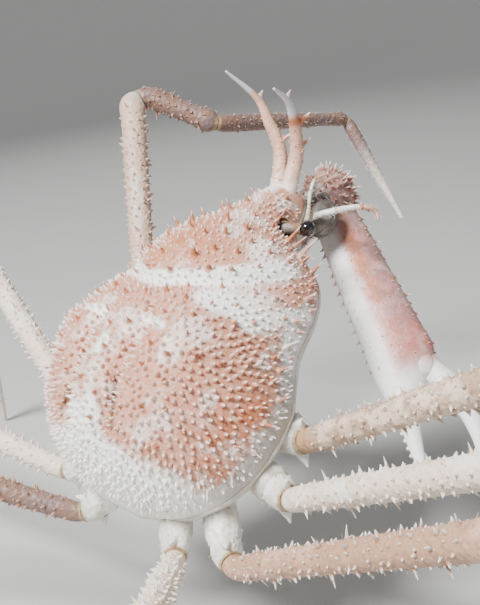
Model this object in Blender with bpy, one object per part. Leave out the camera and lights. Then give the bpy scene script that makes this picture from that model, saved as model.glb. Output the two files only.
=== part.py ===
"""A spiny spider crab with two long horns, a still life-size model standing with its nose raised."""

import math
import random

import bmesh
import bpy
from mathutils import Matrix, Vector

MM = 0.001
SEAM = 0.3 * MM
SEED = 11

# Trunk sizes, in the trunk's own axes: X to the nose, Y to the animal's left, Z to its back
SHELL_LENGTH = 120 * MM
SHELL_HALF_WIDTH = 45 * MM
SHELL_DOME = 38 * MM
BELLY_DEPTH = 18 * MM
SHELL_EDGE_LEVEL = -1.5 * MM
TRUNK_PITCH = math.radians(40)
TRUNK_PLACE = (18.6, -2.8, 108)
SHELL_GRID = (30, 40)
BELLY_GRID = (20, 28)

# Place along the shell, then the shares of half width, dome height and belly depth there
TRUNK_STATIONS = (
    (-0.50, 0.20, 0.12, 0.40),
    (-0.47, 0.50, 0.42, 0.72),
    (-0.42, 0.72, 0.68, 0.90),
    (-0.34, 0.91, 0.88, 1.00),
    (-0.24, 1.00, 0.97, 1.00),
    (-0.12, 1.00, 1.00, 1.00),
    (-0.04, 0.90, 0.98, 1.00),
    (0.04, 0.81, 0.94, 0.97),
    (0.14, 0.79, 0.86, 0.92),
    (0.21, 0.73, 0.76, 0.86),
    (0.26, 0.62, 0.68, 0.80),
    (0.31, 0.42, 0.58, 0.74),
    (0.36, 0.27, 0.48, 0.68),
    (0.42, 0.19, 0.36, 0.62),
    (0.47, 0.16, 0.27, 0.50),
    (0.50, 0.13, 0.19, 0.30),
)

# Swollen regions of the shell: place along, place across, spreads of both, and rise
SHELL_REGIONS = (
    (0.17, 0.00, 0.09, 0.34, 3.0 * MM),
    (-0.14, 0.56, 0.15, 0.28, 4.0 * MM),
    (-0.14, -0.56, 0.15, 0.28, 4.0 * MM),
    (-0.25, 0.00, 0.10, 0.14, 2.0 * MM),
)
NECK_GROOVE_PLACE = 0.03
NECK_GROOVE_SWEEP = 0.17
NECK_GROOVE_WIDTH = 0.03
NECK_GROOVE_DEPTH = 2.5 * MM
GILL_GROOVE_ACROSS = 0.24
GILL_GROOVE_WIDTH = 0.07
GILL_GROOVE_DEPTH = 3.0 * MM
GILL_GROOVE_FRONT = -0.06
ABDOMEN_RISE = 1.8 * MM
ABDOMEN_HALF_WIDTH = 0.36
ABDOMEN_FRONT = 0.08

# Named spines of the shell's front and edge, repeated on both sides: place along, turn from the
# side in degrees, length, root radius, and lean to the nose
NAMED_SPINES = (
    (0.41, 28, 4.5, 0.9, 0.5),
    (0.375, 30, 3.8, 0.9, 0.4),
    (0.335, 22, 7.5, 1.1, 0.9),
    (0.33, 6, 5.5, 1.0, 0.6),
    (0.285, 12, 8.5, 1.4, 1.0),
    (0.27, 2, 5.0, 1.1, 0.5),
    (0.235, 6, 3.0, 0.9, 0.4),
    (0.17, 9, 4.5, 1.0, 0.2),
    (0.10, 10, 4.5, 1.0, 0.2),
    (0.03, 8, 5.0, 1.1, 0.3),
    (-0.04, 10, 5.5, 1.1, 0.1),
    (-0.11, 8, 5.0, 1.1, 0.0),
    (-0.18, 10, 5.5, 1.1, -0.1),
    (-0.25, 8, 5.0, 1.0, -0.2),
    (-0.32, 10, 4.5, 1.0, -0.4),
    (-0.38, 12, 4.0, 1.0, -0.6),
)
SHELL_SPINE_COUNT = 128
SHELL_SPINE_SPACING = 6.8 * MM
SHELL_SPINE_TRIES = 6000
SHELL_SPINE_LENGTHS = (2.2, 4.2)
SPINE_SINK = 1.2 * MM

# Centre lines of the horns, in trunk axes and millimetres, with their radii
HORN_POINTS = {
    "left": (
        (54, 3, 2), (62.2, 3.2, 5.4), (66, 3.4, 7.3), (72.4, 4.6, 11.6), (76.9, 7, 18.4),
        (81.2, 9.6, 26.3), (80.6, 12.5, 40.8),
    ),
    "right": (
        (54, -3, 2), (62.1, -3.2, 6.1), (68.3, -3.6, 8.9), (72, -4.6, 12.5), (76, -6.3, 19.5),
        (78, -8.4, 28), (75.9, -10, 37),
    ),
}
HORN_RADII = (2.6, 2.7, 2.5, 2.3, 1.9, 1.2, 0.4)
# Spines of the horns: share of the way up, length, root radius, and how far they turn to the left
HORN_SPINES = {
    "left": ((0.82, 4.6, 1.1, 0.45), (0.52, 3.2, 0.8, -0.3), (0.42, 2.2, 0.7, -0.3), (0.30, 2.4, 0.7, 0.3)),
    "right": (
        (0.65, 5.4, 1.2, -0.6), (0.86, 3.2, 0.9, 0.3), (0.61, 2.8, 0.8, -0.2), (0.47, 5.2, 1.0, -0.6),
        (0.34, 2.6, 0.8, -0.5),
    ),
}
HORN_SPINE_DROP = -0.1

# Eye: root of its stalk and outer end of its globe, then radii along it
EYE_ENDS = ((45.0, 8.0, 4.2), (47.2, 19.6, 1.6))
EYE_RADII = ((0.0, 1.6), (0.50, 1.6), (0.57, 2.0), (0.67, 2.5), (0.785, 2.6), (0.90, 2.2), (1.0, 1.0))
ORBIT_CENTRE = (45.0, 12.0, 5.0)
ORBIT_RADIUS = 4.2

ANTENNULES = {
    "right": (
        (49, -3.5, -5.5), (55.5, -6.8, -6), (60.3, -17, -6.6),
        (63.6, -26, -8.3), (63.8, -28.5, -11.3), (61.5, -30, -12.5),
    ),
    "left": (
        (49, 3.5, -5.5), (57, 4, -6), (64, 1, -7),
        (69, -3.5, -6.2), (74, -7, -7.2), (75.5, -8.5, -9),
    ),
}
ANTENNULE_RADII = (1.1, 1.1, 1.1, 0.9, 0.7, 0.4)
ANTENNA_POINTS = ((49, 7, -5), (55, 8.6, -3.4), (61, 8.4, 0), (67, 8.2, 1.2), (71, 10.8, -1.2))
ANTENNA_RADII = (1.1, 1.1, 1.2, 0.9, 0.4)

MOUTH_CENTRE = (58.5, 5.2, -13.0)
MOUTH_RADII = (8.5, 5.6, 5.6)

# Each claw arm: shoulder and far end of its merus, centre of its carpus, hinge of its fingers,
# and the way its palm's lower edge faces, all in trunk axes and millimetres
CLAW_ARMS = {
    "left": ((10, 23, -15), (66.5, 14.8, -26.3), (74.7, 8, -23.1), (24.7, -41, -49.8), (-0.79, 0.53, 0.32)),
    "right": ((9, -15, -14), (35.5, 14.5, -34), (40.5, 21, -38.5), (12, 70, -66), (-0.79, -0.53, 0.32)),
}
CLAW_MERUS_RADII = ((0.0, 4.6), (0.2, 5.0), (0.6, 5.4), (0.92, 5.8), (1.0, 5.0))
CLAW_CARPUS_RADII = (11.5, 10.0, 10.5)
CLAW_CARPUS_REACH = 8.0
# Stations of the palm and its fixed finger: distance past the hinge, shift to the lower edge,
# half width and half height
PALM_STATIONS = (
    (-66, 0.0, 5.4, 7.6),
    (-60, 0.0, 6.2, 8.5),
    (-40, 0.0, 6.8, 9.7),
    (-16, 0.0, 7.4, 11.0),
    (-5, 0.2, 7.4, 11.4),
    (2, 3.0, 5.8, 8.4),
    (9, 5.6, 4.4, 5.4),
    (18, 7.4, 3.1, 3.2),
    (28, 9.0, 1.8, 1.9),
    (34, 9.8, 0.6, 0.7),
)
FINGER_STATIONS = (
    (-6, -5.5, 3.6, 3.8),
    (1, -7.5, 3.9, 4.4),
    (9, -10.6, 3.8, 4.3),
    (19, -12.4, 3.1, 3.5),
    (28, -11.6, 2.0, 2.3),
    (35, -9.2, 0.6, 0.7),
)

# Colours from the photograph: red, green and blue, then roughness
SHELL_COLOUR = (0.72, 0.47, 0.38, 0.60)
BELLY_COLOUR = (0.70, 0.66, 0.58, 0.55)
HORN_COLOUR = (0.80, 0.60, 0.50, 0.45)
EYE_COLOUR = (0.01, 0.01, 0.012, 0.08)
MOUTH_COLOUR = (0.52, 0.47, 0.44, 0.50)
LEG_COLOUR = (0.74, 0.64, 0.54, 0.55)
CLAW_COLOUR = (0.78, 0.50, 0.45, 0.45)
FEELER_COLOUR = (0.72, 0.60, 0.50, 0.50)

# Leg radii as pairs of place along the segment and radius
BASE_PROFILE = ((0.0, 6.0), (0.45, 6.5), (0.85, 5.6), (1.0, 4.2))
MERUS_PROFILE = ((0.0, 3.7), (0.05, 4.0), (0.5, 4.6), (0.90, 5.0), (0.96, 5.5), (1.0, 3.8))
CARPUS_PROFILE = ((0.0, 3.6), (0.12, 4.4), (0.7, 4.1), (0.92, 4.7), (1.0, 3.2))
PROPODUS_PROFILE = ((0.0, 3.0), (0.08, 3.6), (0.55, 3.2), (0.9, 2.8), (0.95, 3.3), (1.0, 2.3))
DACTYLUS_PROFILE = ((0.0, 2.2), (0.1, 2.9), (0.5, 2.3), (0.85, 1.3), (1.0, 0.8))
LEG_SIDES = 10
LEG_SEGMENTS = ("base", "merus", "carpus", "propodus", "dactylus")
LEG_PROFILES = (BASE_PROFILE, MERUS_PROFILE, CARPUS_PROFILE, PROPODUS_PROFILE, DACTYLUS_PROFILE)
LEG_CORNERS = (8.0 * MM, 6.2 * MM, 5.6 * MM, 5.0 * MM)
LEG_GIRTHS = {1: 1.0, 2: 0.96, 3: 0.93, 4: 0.88}
FOOT_DEPTH = 1.2 * MM
# Teeth of a base's collar: turn round it in quarter circles, length and root radius
BASE_TEETH = ((1, 5.0, 2.3), (-1, 3.2, 1.8))
BASE_TOOTH_SINK = 1.5 * MM
DACTYLUS_STEEPER = math.radians(14)

# Segment lengths of the four pairs of legs, front to rear: merus, carpus, propodus, dactylus
LEG_LENGTHS = {
    1: (111 * MM, 38 * MM, 75 * MM, 52 * MM),
    2: (116 * MM, 40 * MM, 78 * MM, 55 * MM),
    3: (110 * MM, 38 * MM, 74 * MM, 53 * MM),
    4: (98 * MM, 35 * MM, 66 * MM, 48 * MM),
}

# Both ends of each leg's base in trunk axes, in millimetres, then the headings and rises of its
# merus and carpus and the heading of its propodus, in degrees from the nose and from level
STANDING_LEGS = {
    ("right", 1): ((-16, -31, -10), (-19, -48, -9), (-86, 26), (-76, -30), -70),
    ("right", 2): ((-31, -31, -10), (-37, -52, -10), (-91, 24), (-90, -25), -92),
    ("right", 3): ((-42, -24, -9), (-62, -40, -14), (-92, 26), (-106, -20), -110),
    ("right", 4): ((-50, -13, -7), (-67, -24, -8), (-134, 20), (-140, -20), -140),
    ("left", 2): ((-31, 31, -10), (-37, 52, -10), (77, 27), (70, -28), 64),
    ("left", 3): ((-42, 24, -9), (-56, 45, -9), (103, 12), (103, -2), 100),
    ("left", 4): ((-50, 13, -7), (-67, 24, -8), (128, 22), (134, -15), 136),
}

# The raised front left leg: both ends of its base, then heading and rise of each later segment
RAISED_LEG = ((-10, 30, -10), (2, 43, -8), ((46, 45), (-54, -28), (-4, -10), (-83, -61)))


TRUNK_MATRIX = Matrix.Translation(Vector(TRUNK_PLACE) * MM) @ Matrix.Rotation(-TRUNK_PITCH, 4, "Y")


def from_trunk(x, y, z):
    """World place of a point given in trunk axes, in millimetres"""
    return TRUNK_MATRIX @ (Vector((x, y, z)) * MM)


def clear_scene():
    for old in list(bpy.data.objects):
        bpy.data.objects.remove(old, do_unlink=True)


def make_material(name, colour):
    material = bpy.data.materials.new(name)
    material.use_nodes = True
    shader = material.node_tree.nodes["Principled BSDF"]
    shader.inputs["Base Color"].default_value = (*colour[:3], 1)
    shader.inputs["Roughness"].default_value = colour[3]
    material.diffuse_color = (*colour[:3], 1)
    return material


def interpolate(stations, place, column):
    """Smooth value of one column of a table whose first column is the place"""
    last = len(stations) - 2
    index = 0
    while index < last and place > stations[index + 1][0]:
        index += 1
    left, right = stations[index], stations[index + 1]
    before = stations[max(index - 1, 0)]
    after = stations[min(index + 2, len(stations) - 1)]
    span = right[0] - left[0]
    share = min(max((place - left[0]) / span, 0), 1)
    slope_left = (right[column] - before[column]) / (right[0] - before[0]) * span
    slope_right = (after[column] - left[column]) / (after[0] - left[0]) * span
    square, cube = share**2, share**3
    return (
        (2 * cube - 3 * square + 1) * left[column]
        + (cube - 2 * square + share) * slope_left
        + (3 * square - 2 * cube) * right[column]
        + (cube - square) * slope_right
    )


def interpolate_straight(profile, place):
    """Straight-line value of a profile of (place, value) pairs"""
    for (start, low), (end, high) in zip(profile, profile[1:]):
        if place <= end:
            return low + (high - low) * (place - start) / (end - start)
    return profile[-1][1]


def mesh_object(name, bm, origin, material):
    """Turn a bmesh in world space into a smooth-shaded object with its origin at a given place"""
    bmesh.ops.recalc_face_normals(bm, faces=bm.faces)
    bm.transform(Matrix.Translation(-origin))
    mesh = bpy.data.meshes.new(name)
    bm.to_mesh(mesh)
    bm.free()
    mesh.shade_smooth()
    mesh.set_sharp_from_angle(angle=math.radians(40))
    mesh.materials.append(material)
    made = bpy.data.objects.new(name, mesh)
    made.location = origin
    bpy.context.collection.objects.link(made)
    return made


def loft(bm, rings):
    """Skin a list of rings of points and close both ends"""
    rows = [[bm.verts.new(point) for point in ring] for ring in rings]
    count = len(rows[0])
    for lower, upper in zip(rows, rows[1:]):
        for i in range(count):
            j = (i + 1) % count
            bm.faces.new((lower[i], lower[j], upper[j], upper[i]))
    bm.faces.new(rows[0][::-1])
    bm.faces.new(rows[-1])


def cut_flat(bm, point, normal):
    """Remove what lies beyond a plane and close the cut"""
    geometry = bm.verts[:] + bm.edges[:] + bm.faces[:]
    cut = bmesh.ops.bisect_plane(
        bm, geom=geometry, dist=1e-7, plane_co=point, plane_no=normal, clear_outer=True
    )
    edges = [item for item in cut["geom_cut"] if isinstance(item, bmesh.types.BMEdge)]
    bmesh.ops.contextual_create(bm, geom=edges)


def keep_largest(bm):
    """Drop every loose surface but the largest"""
    left = set(bm.faces)
    islands = []
    while left:
        stack = [left.pop()]
        island = set(stack)
        while stack:
            for edge in stack.pop().edges:
                for face in edge.link_faces:
                    if face in left:
                        left.remove(face)
                        island.add(face)
                        stack.append(face)
        islands.append(island)
    biggest = max(islands, key=lambda island: sum(face.calc_area() for face in island))
    extra = [face for island in islands if island is not biggest for face in island]
    bmesh.ops.delete(bm, geom=extra, context="FACES")


def combine(target, pieces, operation, solver="EXACT"):
    """Apply one Boolean of a collection of closed pieces to an object, then remove the pieces"""
    group = bpy.data.collections.new(target.name + "_pieces")
    bpy.context.scene.collection.children.link(group)
    for piece in pieces:
        for owner in list(piece.users_collection):
            owner.objects.unlink(piece)
        group.objects.link(piece)
    modifier = target.modifiers.new(operation.lower(), "BOOLEAN")
    modifier.operation = operation
    modifier.operand_type = "COLLECTION"
    modifier.collection = group
    modifier.solver = solver
    graph = bpy.context.evaluated_depsgraph_get()
    bm = bmesh.new()
    bm.from_mesh(target.evaluated_get(graph).to_mesh())
    target.modifiers.remove(modifier)
    keep_largest(bm)
    bmesh.ops.dissolve_degenerate(bm, dist=1e-6, edges=bm.edges)
    bm.to_mesh(target.data)
    bm.free()
    target.data.shade_smooth()
    target.data.set_sharp_from_angle(angle=math.radians(40))
    for piece in pieces:
        bpy.data.objects.remove(piece, do_unlink=True)
    bpy.data.collections.remove(group)


def add_spine(bm, root, direction, length, radius, sink, sides=4):
    """One straight tapered spine, its foot sunk below the surface point"""
    direction = direction.normalized()
    side = direction.orthogonal().normalized()
    other = direction.cross(side)
    foot = root - direction * sink
    ring = []
    for i in range(sides):
        turn = 2 * math.pi * i / sides
        offset = side * math.cos(turn) + other * math.sin(turn)
        ring.append(bm.verts.new(foot + offset * radius))
    tip = bm.verts.new(root + direction * length)
    for i in range(sides):
        bm.faces.new((ring[i], ring[(i + 1) % sides], tip))
    bm.faces.new(ring[::-1])


def fuse_spines(target, spines):
    """Join a list of spines, given as (root, direction, length, radius, sink), to an object"""
    bm = bmesh.new()
    for spine in spines:
        add_spine(bm, *spine)
    cones = mesh_object(target.name + "_spines", bm, Vector(), target.data.materials[0])
    combine(target, [cones], "UNION")


# Trunk


def trunk_point(along, turn):
    """Place in trunk axes on the trunk's surface; a turn of a quarter circle is the back"""
    width = interpolate(TRUNK_STATIONS, along, 1) * SHELL_HALF_WIDTH
    cosine, sine = math.cos(turn), math.sin(turn)
    if sine >= 0:
        height = interpolate(TRUNK_STATIONS, along, 2) * SHELL_DOME
    else:
        height = interpolate(TRUNK_STATIONS, along, 3) * BELLY_DEPTH
    swell = shell_swell(along, cosine) if sine > 0 else belly_swell(along, cosine)
    return Vector((
        along * SHELL_LENGTH,
        (width + swell * sine) * cosine,
        (height + swell) * sine,
    ))


def shell_swell(along, across):
    """Rise of the shell's regions and depth of its grooves"""
    rise = 0
    for place, side, spread_along, spread_across, height in SHELL_REGIONS:
        rise += height * math.exp(
            -(((along - place) / spread_along) ** 2) - ((across - side) / spread_across) ** 2
        )
    neck = NECK_GROOVE_PLACE + NECK_GROOVE_SWEEP * across**2
    rise -= NECK_GROOVE_DEPTH * math.exp(-(((along - neck) / NECK_GROOVE_WIDTH) ** 2))
    gill = math.exp(-(((abs(across) - GILL_GROOVE_ACROSS) / GILL_GROOVE_WIDTH) ** 2))
    fade = 1 / (1 + math.exp((along - GILL_GROOVE_FRONT) / 0.02))
    tail = 1 / (1 + math.exp((-0.42 - along) / 0.02))
    return rise - GILL_GROOVE_DEPTH * gill * fade * tail


def belly_swell(along, across):
    """Rise of the abdomen, folded flat under the belly from the rear"""
    if abs(across) > ABDOMEN_HALF_WIDTH or along > ABDOMEN_FRONT:
        return 0
    return ABDOMEN_RISE


def shell_site(along, turn):
    """Point and outward direction on the shell, in trunk axes"""
    step = 0.004
    point = trunk_point(along, turn)
    ahead = trunk_point(along + step, turn) - trunk_point(along - step, turn)
    across = trunk_point(along, turn + step) - trunk_point(along, turn - step)
    return point, across.cross(ahead).normalized()


def shell_spines(rng):
    """Named spines of the front and edge, then smaller ones spread over the shell"""
    turn_matrix = TRUNK_MATRIX.to_3x3()
    spines = []
    taken = []

    def grow(along, turn, length, radius, lean):
        point, outward = shell_site(along, turn)
        direction = outward + Vector((lean, 0, 0))
        taken.append(point)
        spines.append((TRUNK_MATRIX @ point, turn_matrix @ direction, length * MM, radius * MM, SPINE_SINK))

    for along, degrees, length, radius, lean in NAMED_SPINES:
        for turn in (math.radians(degrees), math.pi - math.radians(degrees)):
            grow(along, turn, length, radius, lean)
    for _ in range(SHELL_SPINE_TRIES):
        if len(taken) >= SHELL_SPINE_COUNT:
            break
        along = rng.uniform(-0.47, 0.44)
        turn = rng.uniform(math.radians(12), math.radians(168))
        point = trunk_point(along, turn)
        near_orbit = along > 0.33 and point.z < 13 * MM
        if near_orbit or any((point - other).length < SHELL_SPINE_SPACING for other in taken):
            continue
        length = rng.uniform(*SHELL_SPINE_LENGTHS)
        grow(along, turn, length, 0.6 + 0.14 * length, 0.15)
    return spines


def trunk_mesh(grid):
    """The whole trunk, skinned over a grid of rings and sides"""
    ring_count, side_count = grid
    bm = bmesh.new()
    rings = []
    for i in range(ring_count + 1):
        along = -0.5 * math.cos(math.pi * i / ring_count)
        turns = [2 * math.pi * j / side_count for j in range(side_count)]
        rings.append([trunk_point(along, turn) for turn in turns])
    loft(bm, rings)
    return bm


def make_carapace(material):
    bm = trunk_mesh(SHELL_GRID)
    cut_flat(bm, Vector((0, 0, SHELL_EDGE_LEVEL)), Vector((0, 0, -1)))
    bm.transform(TRUNK_MATRIX)
    return mesh_object("carapace", bm, TRUNK_MATRIX.translation, material)


def make_underside(material):
    bm = trunk_mesh(BELLY_GRID)
    cut_flat(bm, Vector((0, 0, SHELL_EDGE_LEVEL - SEAM)), Vector((0, 0, 1)))
    bm.transform(TRUNK_MATRIX)
    return mesh_object("underside", bm, TRUNK_MATRIX.translation, material)


# Limbs


class Ring:
    """A cross-section of a limb: its centre, tangent, side and top directions and radii"""

    def __init__(self, centre, tangent, side, place):
        self.centre = centre
        self.tangent = tangent
        self.side = (side - tangent * side.dot(tangent)).normalized()
        self.top = tangent.cross(self.side)
        self.place = place
        self.width = 0
        self.height = 0

    def point(self, turn, grow=0):
        across = self.side * math.cos(turn) * (self.width + grow)
        return self.centre + across + self.top * math.sin(turn) * (self.height + grow)


def heading_vector(heading, rise):
    """Unit vector from a heading to the animal's left of its nose and a rise, in degrees"""
    turn, climb = math.radians(heading), math.radians(rise)
    level = math.cos(climb)
    return Vector((math.cos(turn) * level, math.sin(turn) * level, math.sin(climb)))


def bend(before, joint, after, radius, share):
    """Place and tangent on the arc that rounds the corner between two straight stretches"""
    ahead = (joint - before).normalized()
    turned = (after - joint).normalized()
    whole = ahead.angle(turned)
    inward = (turned - ahead * math.cos(whole)).normalized()
    angle = whole * share
    start = joint - ahead * radius * math.tan(whole / 2)
    place = start + ahead * radius * math.sin(angle) + inward * radius * (1 - math.cos(angle))
    return place, ahead * math.cos(angle) + inward * math.sin(angle)


def limb_segments(points, corners, stretches):
    """Centre lines of a limb's segments, with each joint on a rounded corner"""
    segments = []
    last = len(points) - 2
    for i in range(last + 1):
        start, end = points[i], points[i + 1]
        along = (end - start).normalized()
        line = []
        if i > 0:
            for share in (0.5, 0.75, 1.0):
                line.append(bend(points[i - 1], start, end, corners[i - 1], share))
            line[0] = (line[0][0] + line[0][1] * SEAM / 2, line[0][1])
        else:
            line.append((start, along))
        first = line[-1][0]
        tail = []
        if i < last:
            for share in (0.0, 0.25, 0.5):
                tail.append(bend(start, end, points[i + 2], corners[i], share))
            tail[-1] = (tail[-1][0] - tail[-1][1] * SEAM / 2, tail[-1][1])
        else:
            tail.append((end, along))
        for step in range(1, stretches[i] + 1):
            line.append((first.lerp(tail[0][0], step / (stretches[i] + 1)), along))
        segments.append(line + tail)
    return segments


def limb_rings(line, profile, girth, flatten, side):
    """Rings along a centre line, with radii from a profile of (place, millimetres) pairs"""
    lengths = [0]
    for (place, _), (following, _) in zip(line, line[1:]):
        lengths.append(lengths[-1] + (following - place).length)
    rings = []
    for (place, tangent), length in zip(line, lengths):
        ring = Ring(place, tangent, side, length / lengths[-1])
        radius = interpolate_straight(profile, ring.place) * MM * girth
        ring.width = radius * flatten
        ring.height = radius
        side = ring.side
        rings.append(ring)
    return rings


def ring_mesh(rings, sides, grow=0, lengthen=0):
    bm = bmesh.new()
    rows = [[ring.point(2 * math.pi * (j + 0.5) / sides, grow) for j in range(sides)] for ring in rings]
    rows[0] = [point - rings[0].tangent * lengthen for point in rows[0]]
    rows[-1] = [point + rings[-1].tangent * lengthen for point in rows[-1]]
    loft(bm, rows)
    return bm


def limb_spines(rings, count, turns, span, sizes, lean, rng):
    """Spines set along a segment in rows at given turns around it"""
    spines = []
    for row, turn in enumerate(turns):
        for step in range(count):
            share = span[0] + (span[1] - span[0]) * (step + 0.5 * (row % 2) + rng.uniform(0.1, 0.4)) / count
            index = max(i for i, ring in enumerate(rings) if ring.place <= share)
            low, high = rings[index], rings[index + 1]
            part = (share - low.place) / (high.place - low.place)
            angle = turn + rng.uniform(-0.12, 0.12)
            root = low.point(angle).lerp(high.point(angle), part)
            centre = low.centre.lerp(high.centre, part)
            outward = (root - centre).normalized()
            length = rng.uniform(*sizes) * MM
            radius = (0.45 + 0.08 * length / MM) * MM
            direction = outward + low.tangent * lean
            spines.append((root, direction, length, radius, 1.1 * MM))
    return spines


def standing_points(side, pair):
    """Joints of a leg whose foot stands on the floor"""
    inner, outer, merus_aim, carpus_aim, propodus_heading = STANDING_LEGS[side, pair]
    lengths = LEG_LENGTHS[pair]
    start = from_trunk(*outer)
    knee = start + heading_vector(*merus_aim) * lengths[0]
    wrist = knee + heading_vector(*carpus_aim) * lengths[1]
    steep, level = math.radians(88), 0.0
    for _ in range(40):
        slope = (steep + level) / 2
        lower = min(slope + DACTYLUS_STEEPER, math.radians(88))
        drop = lengths[2] * math.sin(slope) + lengths[3] * math.sin(lower)
        if drop > wrist.z + FOOT_DEPTH:
            steep = slope
        else:
            level = slope
    ankle = wrist + heading_vector(propodus_heading, -math.degrees(slope)) * lengths[2]
    tip = ankle + heading_vector(propodus_heading, -math.degrees(lower)) * lengths[3]
    return [from_trunk(*inner), start, knee, wrist, ankle, tip]


def raised_points():
    """Joints of the front left leg, held up off the floor"""
    inner, outer, aims = RAISED_LEG
    points = [from_trunk(*inner), from_trunk(*outer)]
    for aim, length in zip(aims, LEG_LENGTHS[1]):
        points.append(points[-1] + heading_vector(*aim) * length)
    return points


def base_teeth(ring):
    """Teeth below and above on the collar of a leg's base"""
    teeth = []
    for quarters, length, radius in BASE_TEETH:
        root = ring.point(quarters * math.pi / 2)
        outward = (root - ring.centre).normalized()
        teeth.append((root, outward + ring.tangent * 0.6, length * MM, radius * MM, BASE_TOOTH_SINK))
    return teeth


def make_leg(side, pair, points, material, rng):
    """Five segments of one leg; returns them with a cutter for the base's socket"""
    girth = LEG_GIRTHS[pair]
    stretches = (1, 4, 1, 2, 3)
    segments = limb_segments(points, LEG_CORNERS, stretches)
    made = []
    cutter = None
    for name, line, profile in zip(LEG_SEGMENTS, segments, LEG_PROFILES):
        across = line[0][1].cross(Vector((0, 0, 1))).normalized()
        flatten = 0.92 if name == "base" else 1.0
        rings = limb_rings(line, profile, girth, flatten, across)
        bm = ring_mesh(rings, LEG_SIDES)
        if name == "base":
            cutter = mesh_object("socket_cutter", ring_mesh(rings, LEG_SIDES, SEAM, SEAM), Vector(), material)
        if name == "dactylus":
            cut_flat(bm, Vector((0, 0, 0)), Vector((0, 0, -1)))
        segment = mesh_object(f"{side}_leg_{pair}_{name}", bm, line[0][0], material)
        made.append(segment)
        if name == "base":
            fuse_spines(segment, base_teeth(rings[2]))
        if name in ("merus", "carpus", "propodus"):
            counts = {"merus": 4, "carpus": 1, "propodus": 2}
            turns = [math.pi * (0.25 + 0.5 * k) for k in range(4)]
            spines = limb_spines(rings, counts[name], turns, (0.08, 0.9), (1.8, 3.6), 0.3, rng)
            fuse_spines(segment, spines)
    return made, cutter


# Head


def smooth_curve(points, share):
    """Point at a share of the way along a smooth curve through the points"""
    last = len(points) - 1
    stations = [(i / last, *point) for i, point in enumerate(points)]
    return Vector([interpolate(stations, share, column) for column in (1, 2, 3)])


def tube_rings(points, widths, heights, samples, side):
    """Rings along a smooth curve, the radii in millimetres given at its points"""
    last = len(points) - 1
    sizes = [(i / last, width, height) for i, (width, height) in enumerate(zip(widths, heights))]
    rings = []
    step = 0.01
    for i in range(samples + 1):
        share = i / samples
        low, high = max(share - step, 0), min(share + step, 1)
        tangent = (smooth_curve(points, high) - smooth_curve(points, low)).normalized()
        ring = Ring(smooth_curve(points, share), tangent, side, share)
        ring.width = max(interpolate(sizes, share, 1), min(widths)) * MM
        ring.height = max(interpolate(sizes, share, 2), min(heights)) * MM
        side = ring.side
        rings.append(ring)
    return rings


def rooted(name, rings, sides, material, cutters):
    """A piece with a sunk root, and the slightly larger cutter of its socket"""
    cutters.append(mesh_object("socket_cutter", ring_mesh(rings, sides, SEAM, SEAM), Vector(), material))
    return mesh_object(name, ring_mesh(rings, sides), rings[0].centre, material)


def mirror_points(points, sign):
    return [from_trunk(x, y * sign, z) for x, y, z in points]


def make_horn(side, material, cutters):
    points = mirror_points(HORN_POINTS[side], 1)
    rings = tube_rings(points, HORN_RADII, HORN_RADII, 12, Vector((0, 1, 0)))
    horn = rooted(f"{side}_horn", rings, 10, material, cutters)
    spines = []
    for share, length, radius, leftward in HORN_SPINES[side]:
        aim = TRUNK_MATRIX.to_3x3() @ Vector((1, leftward, HORN_SPINE_DROP))
        spines.append((smooth_curve(points, share), aim, (length + radius) * MM, radius * MM, 0))
    fuse_spines(horn, spines)
    return horn


def make_eye(side, sign, material, cutters):
    start, end = mirror_points(EYE_ENDS, sign)
    rings = []
    for place, radius in EYE_RADII:
        ring = Ring(start.lerp(end, place), (end - start).normalized(), Vector((0, 0, 1)), place)
        ring.width = ring.height = radius * MM
        rings.append(ring)
    return rooted(f"{side}_eye", rings, 12, material, cutters)


def make_ball(centre, radii):
    """A closed ellipsoid in trunk axes, in millimetres"""
    bm = bmesh.new()
    bmesh.ops.create_icosphere(bm, subdivisions=2, radius=1)
    scale = Matrix.Diagonal((*(radius * MM for radius in radii), 1))
    bm.transform(TRUNK_MATRIX @ Matrix.Translation(Vector(centre) * MM) @ scale)
    return bm


def make_mouthpart(side, sign, material, cutters):
    x, y, z = MOUTH_CENTRE
    grown = [radius + SEAM / MM for radius in MOUTH_RADII]
    bm = make_ball((x, y * sign, z), MOUTH_RADII)
    across = Vector((0, -sign, 0))
    cut_flat(bm, TRUNK_MATRIX.translation + Vector((0, sign * SEAM / 2, 0)), across)
    cutters.append(mesh_object("socket_cutter", make_ball((x, y * sign, z), grown), Vector(), material))
    return mesh_object(f"{side}_mouthpart", bm, from_trunk(x, y * sign, z), material)


# Claw arms


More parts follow.
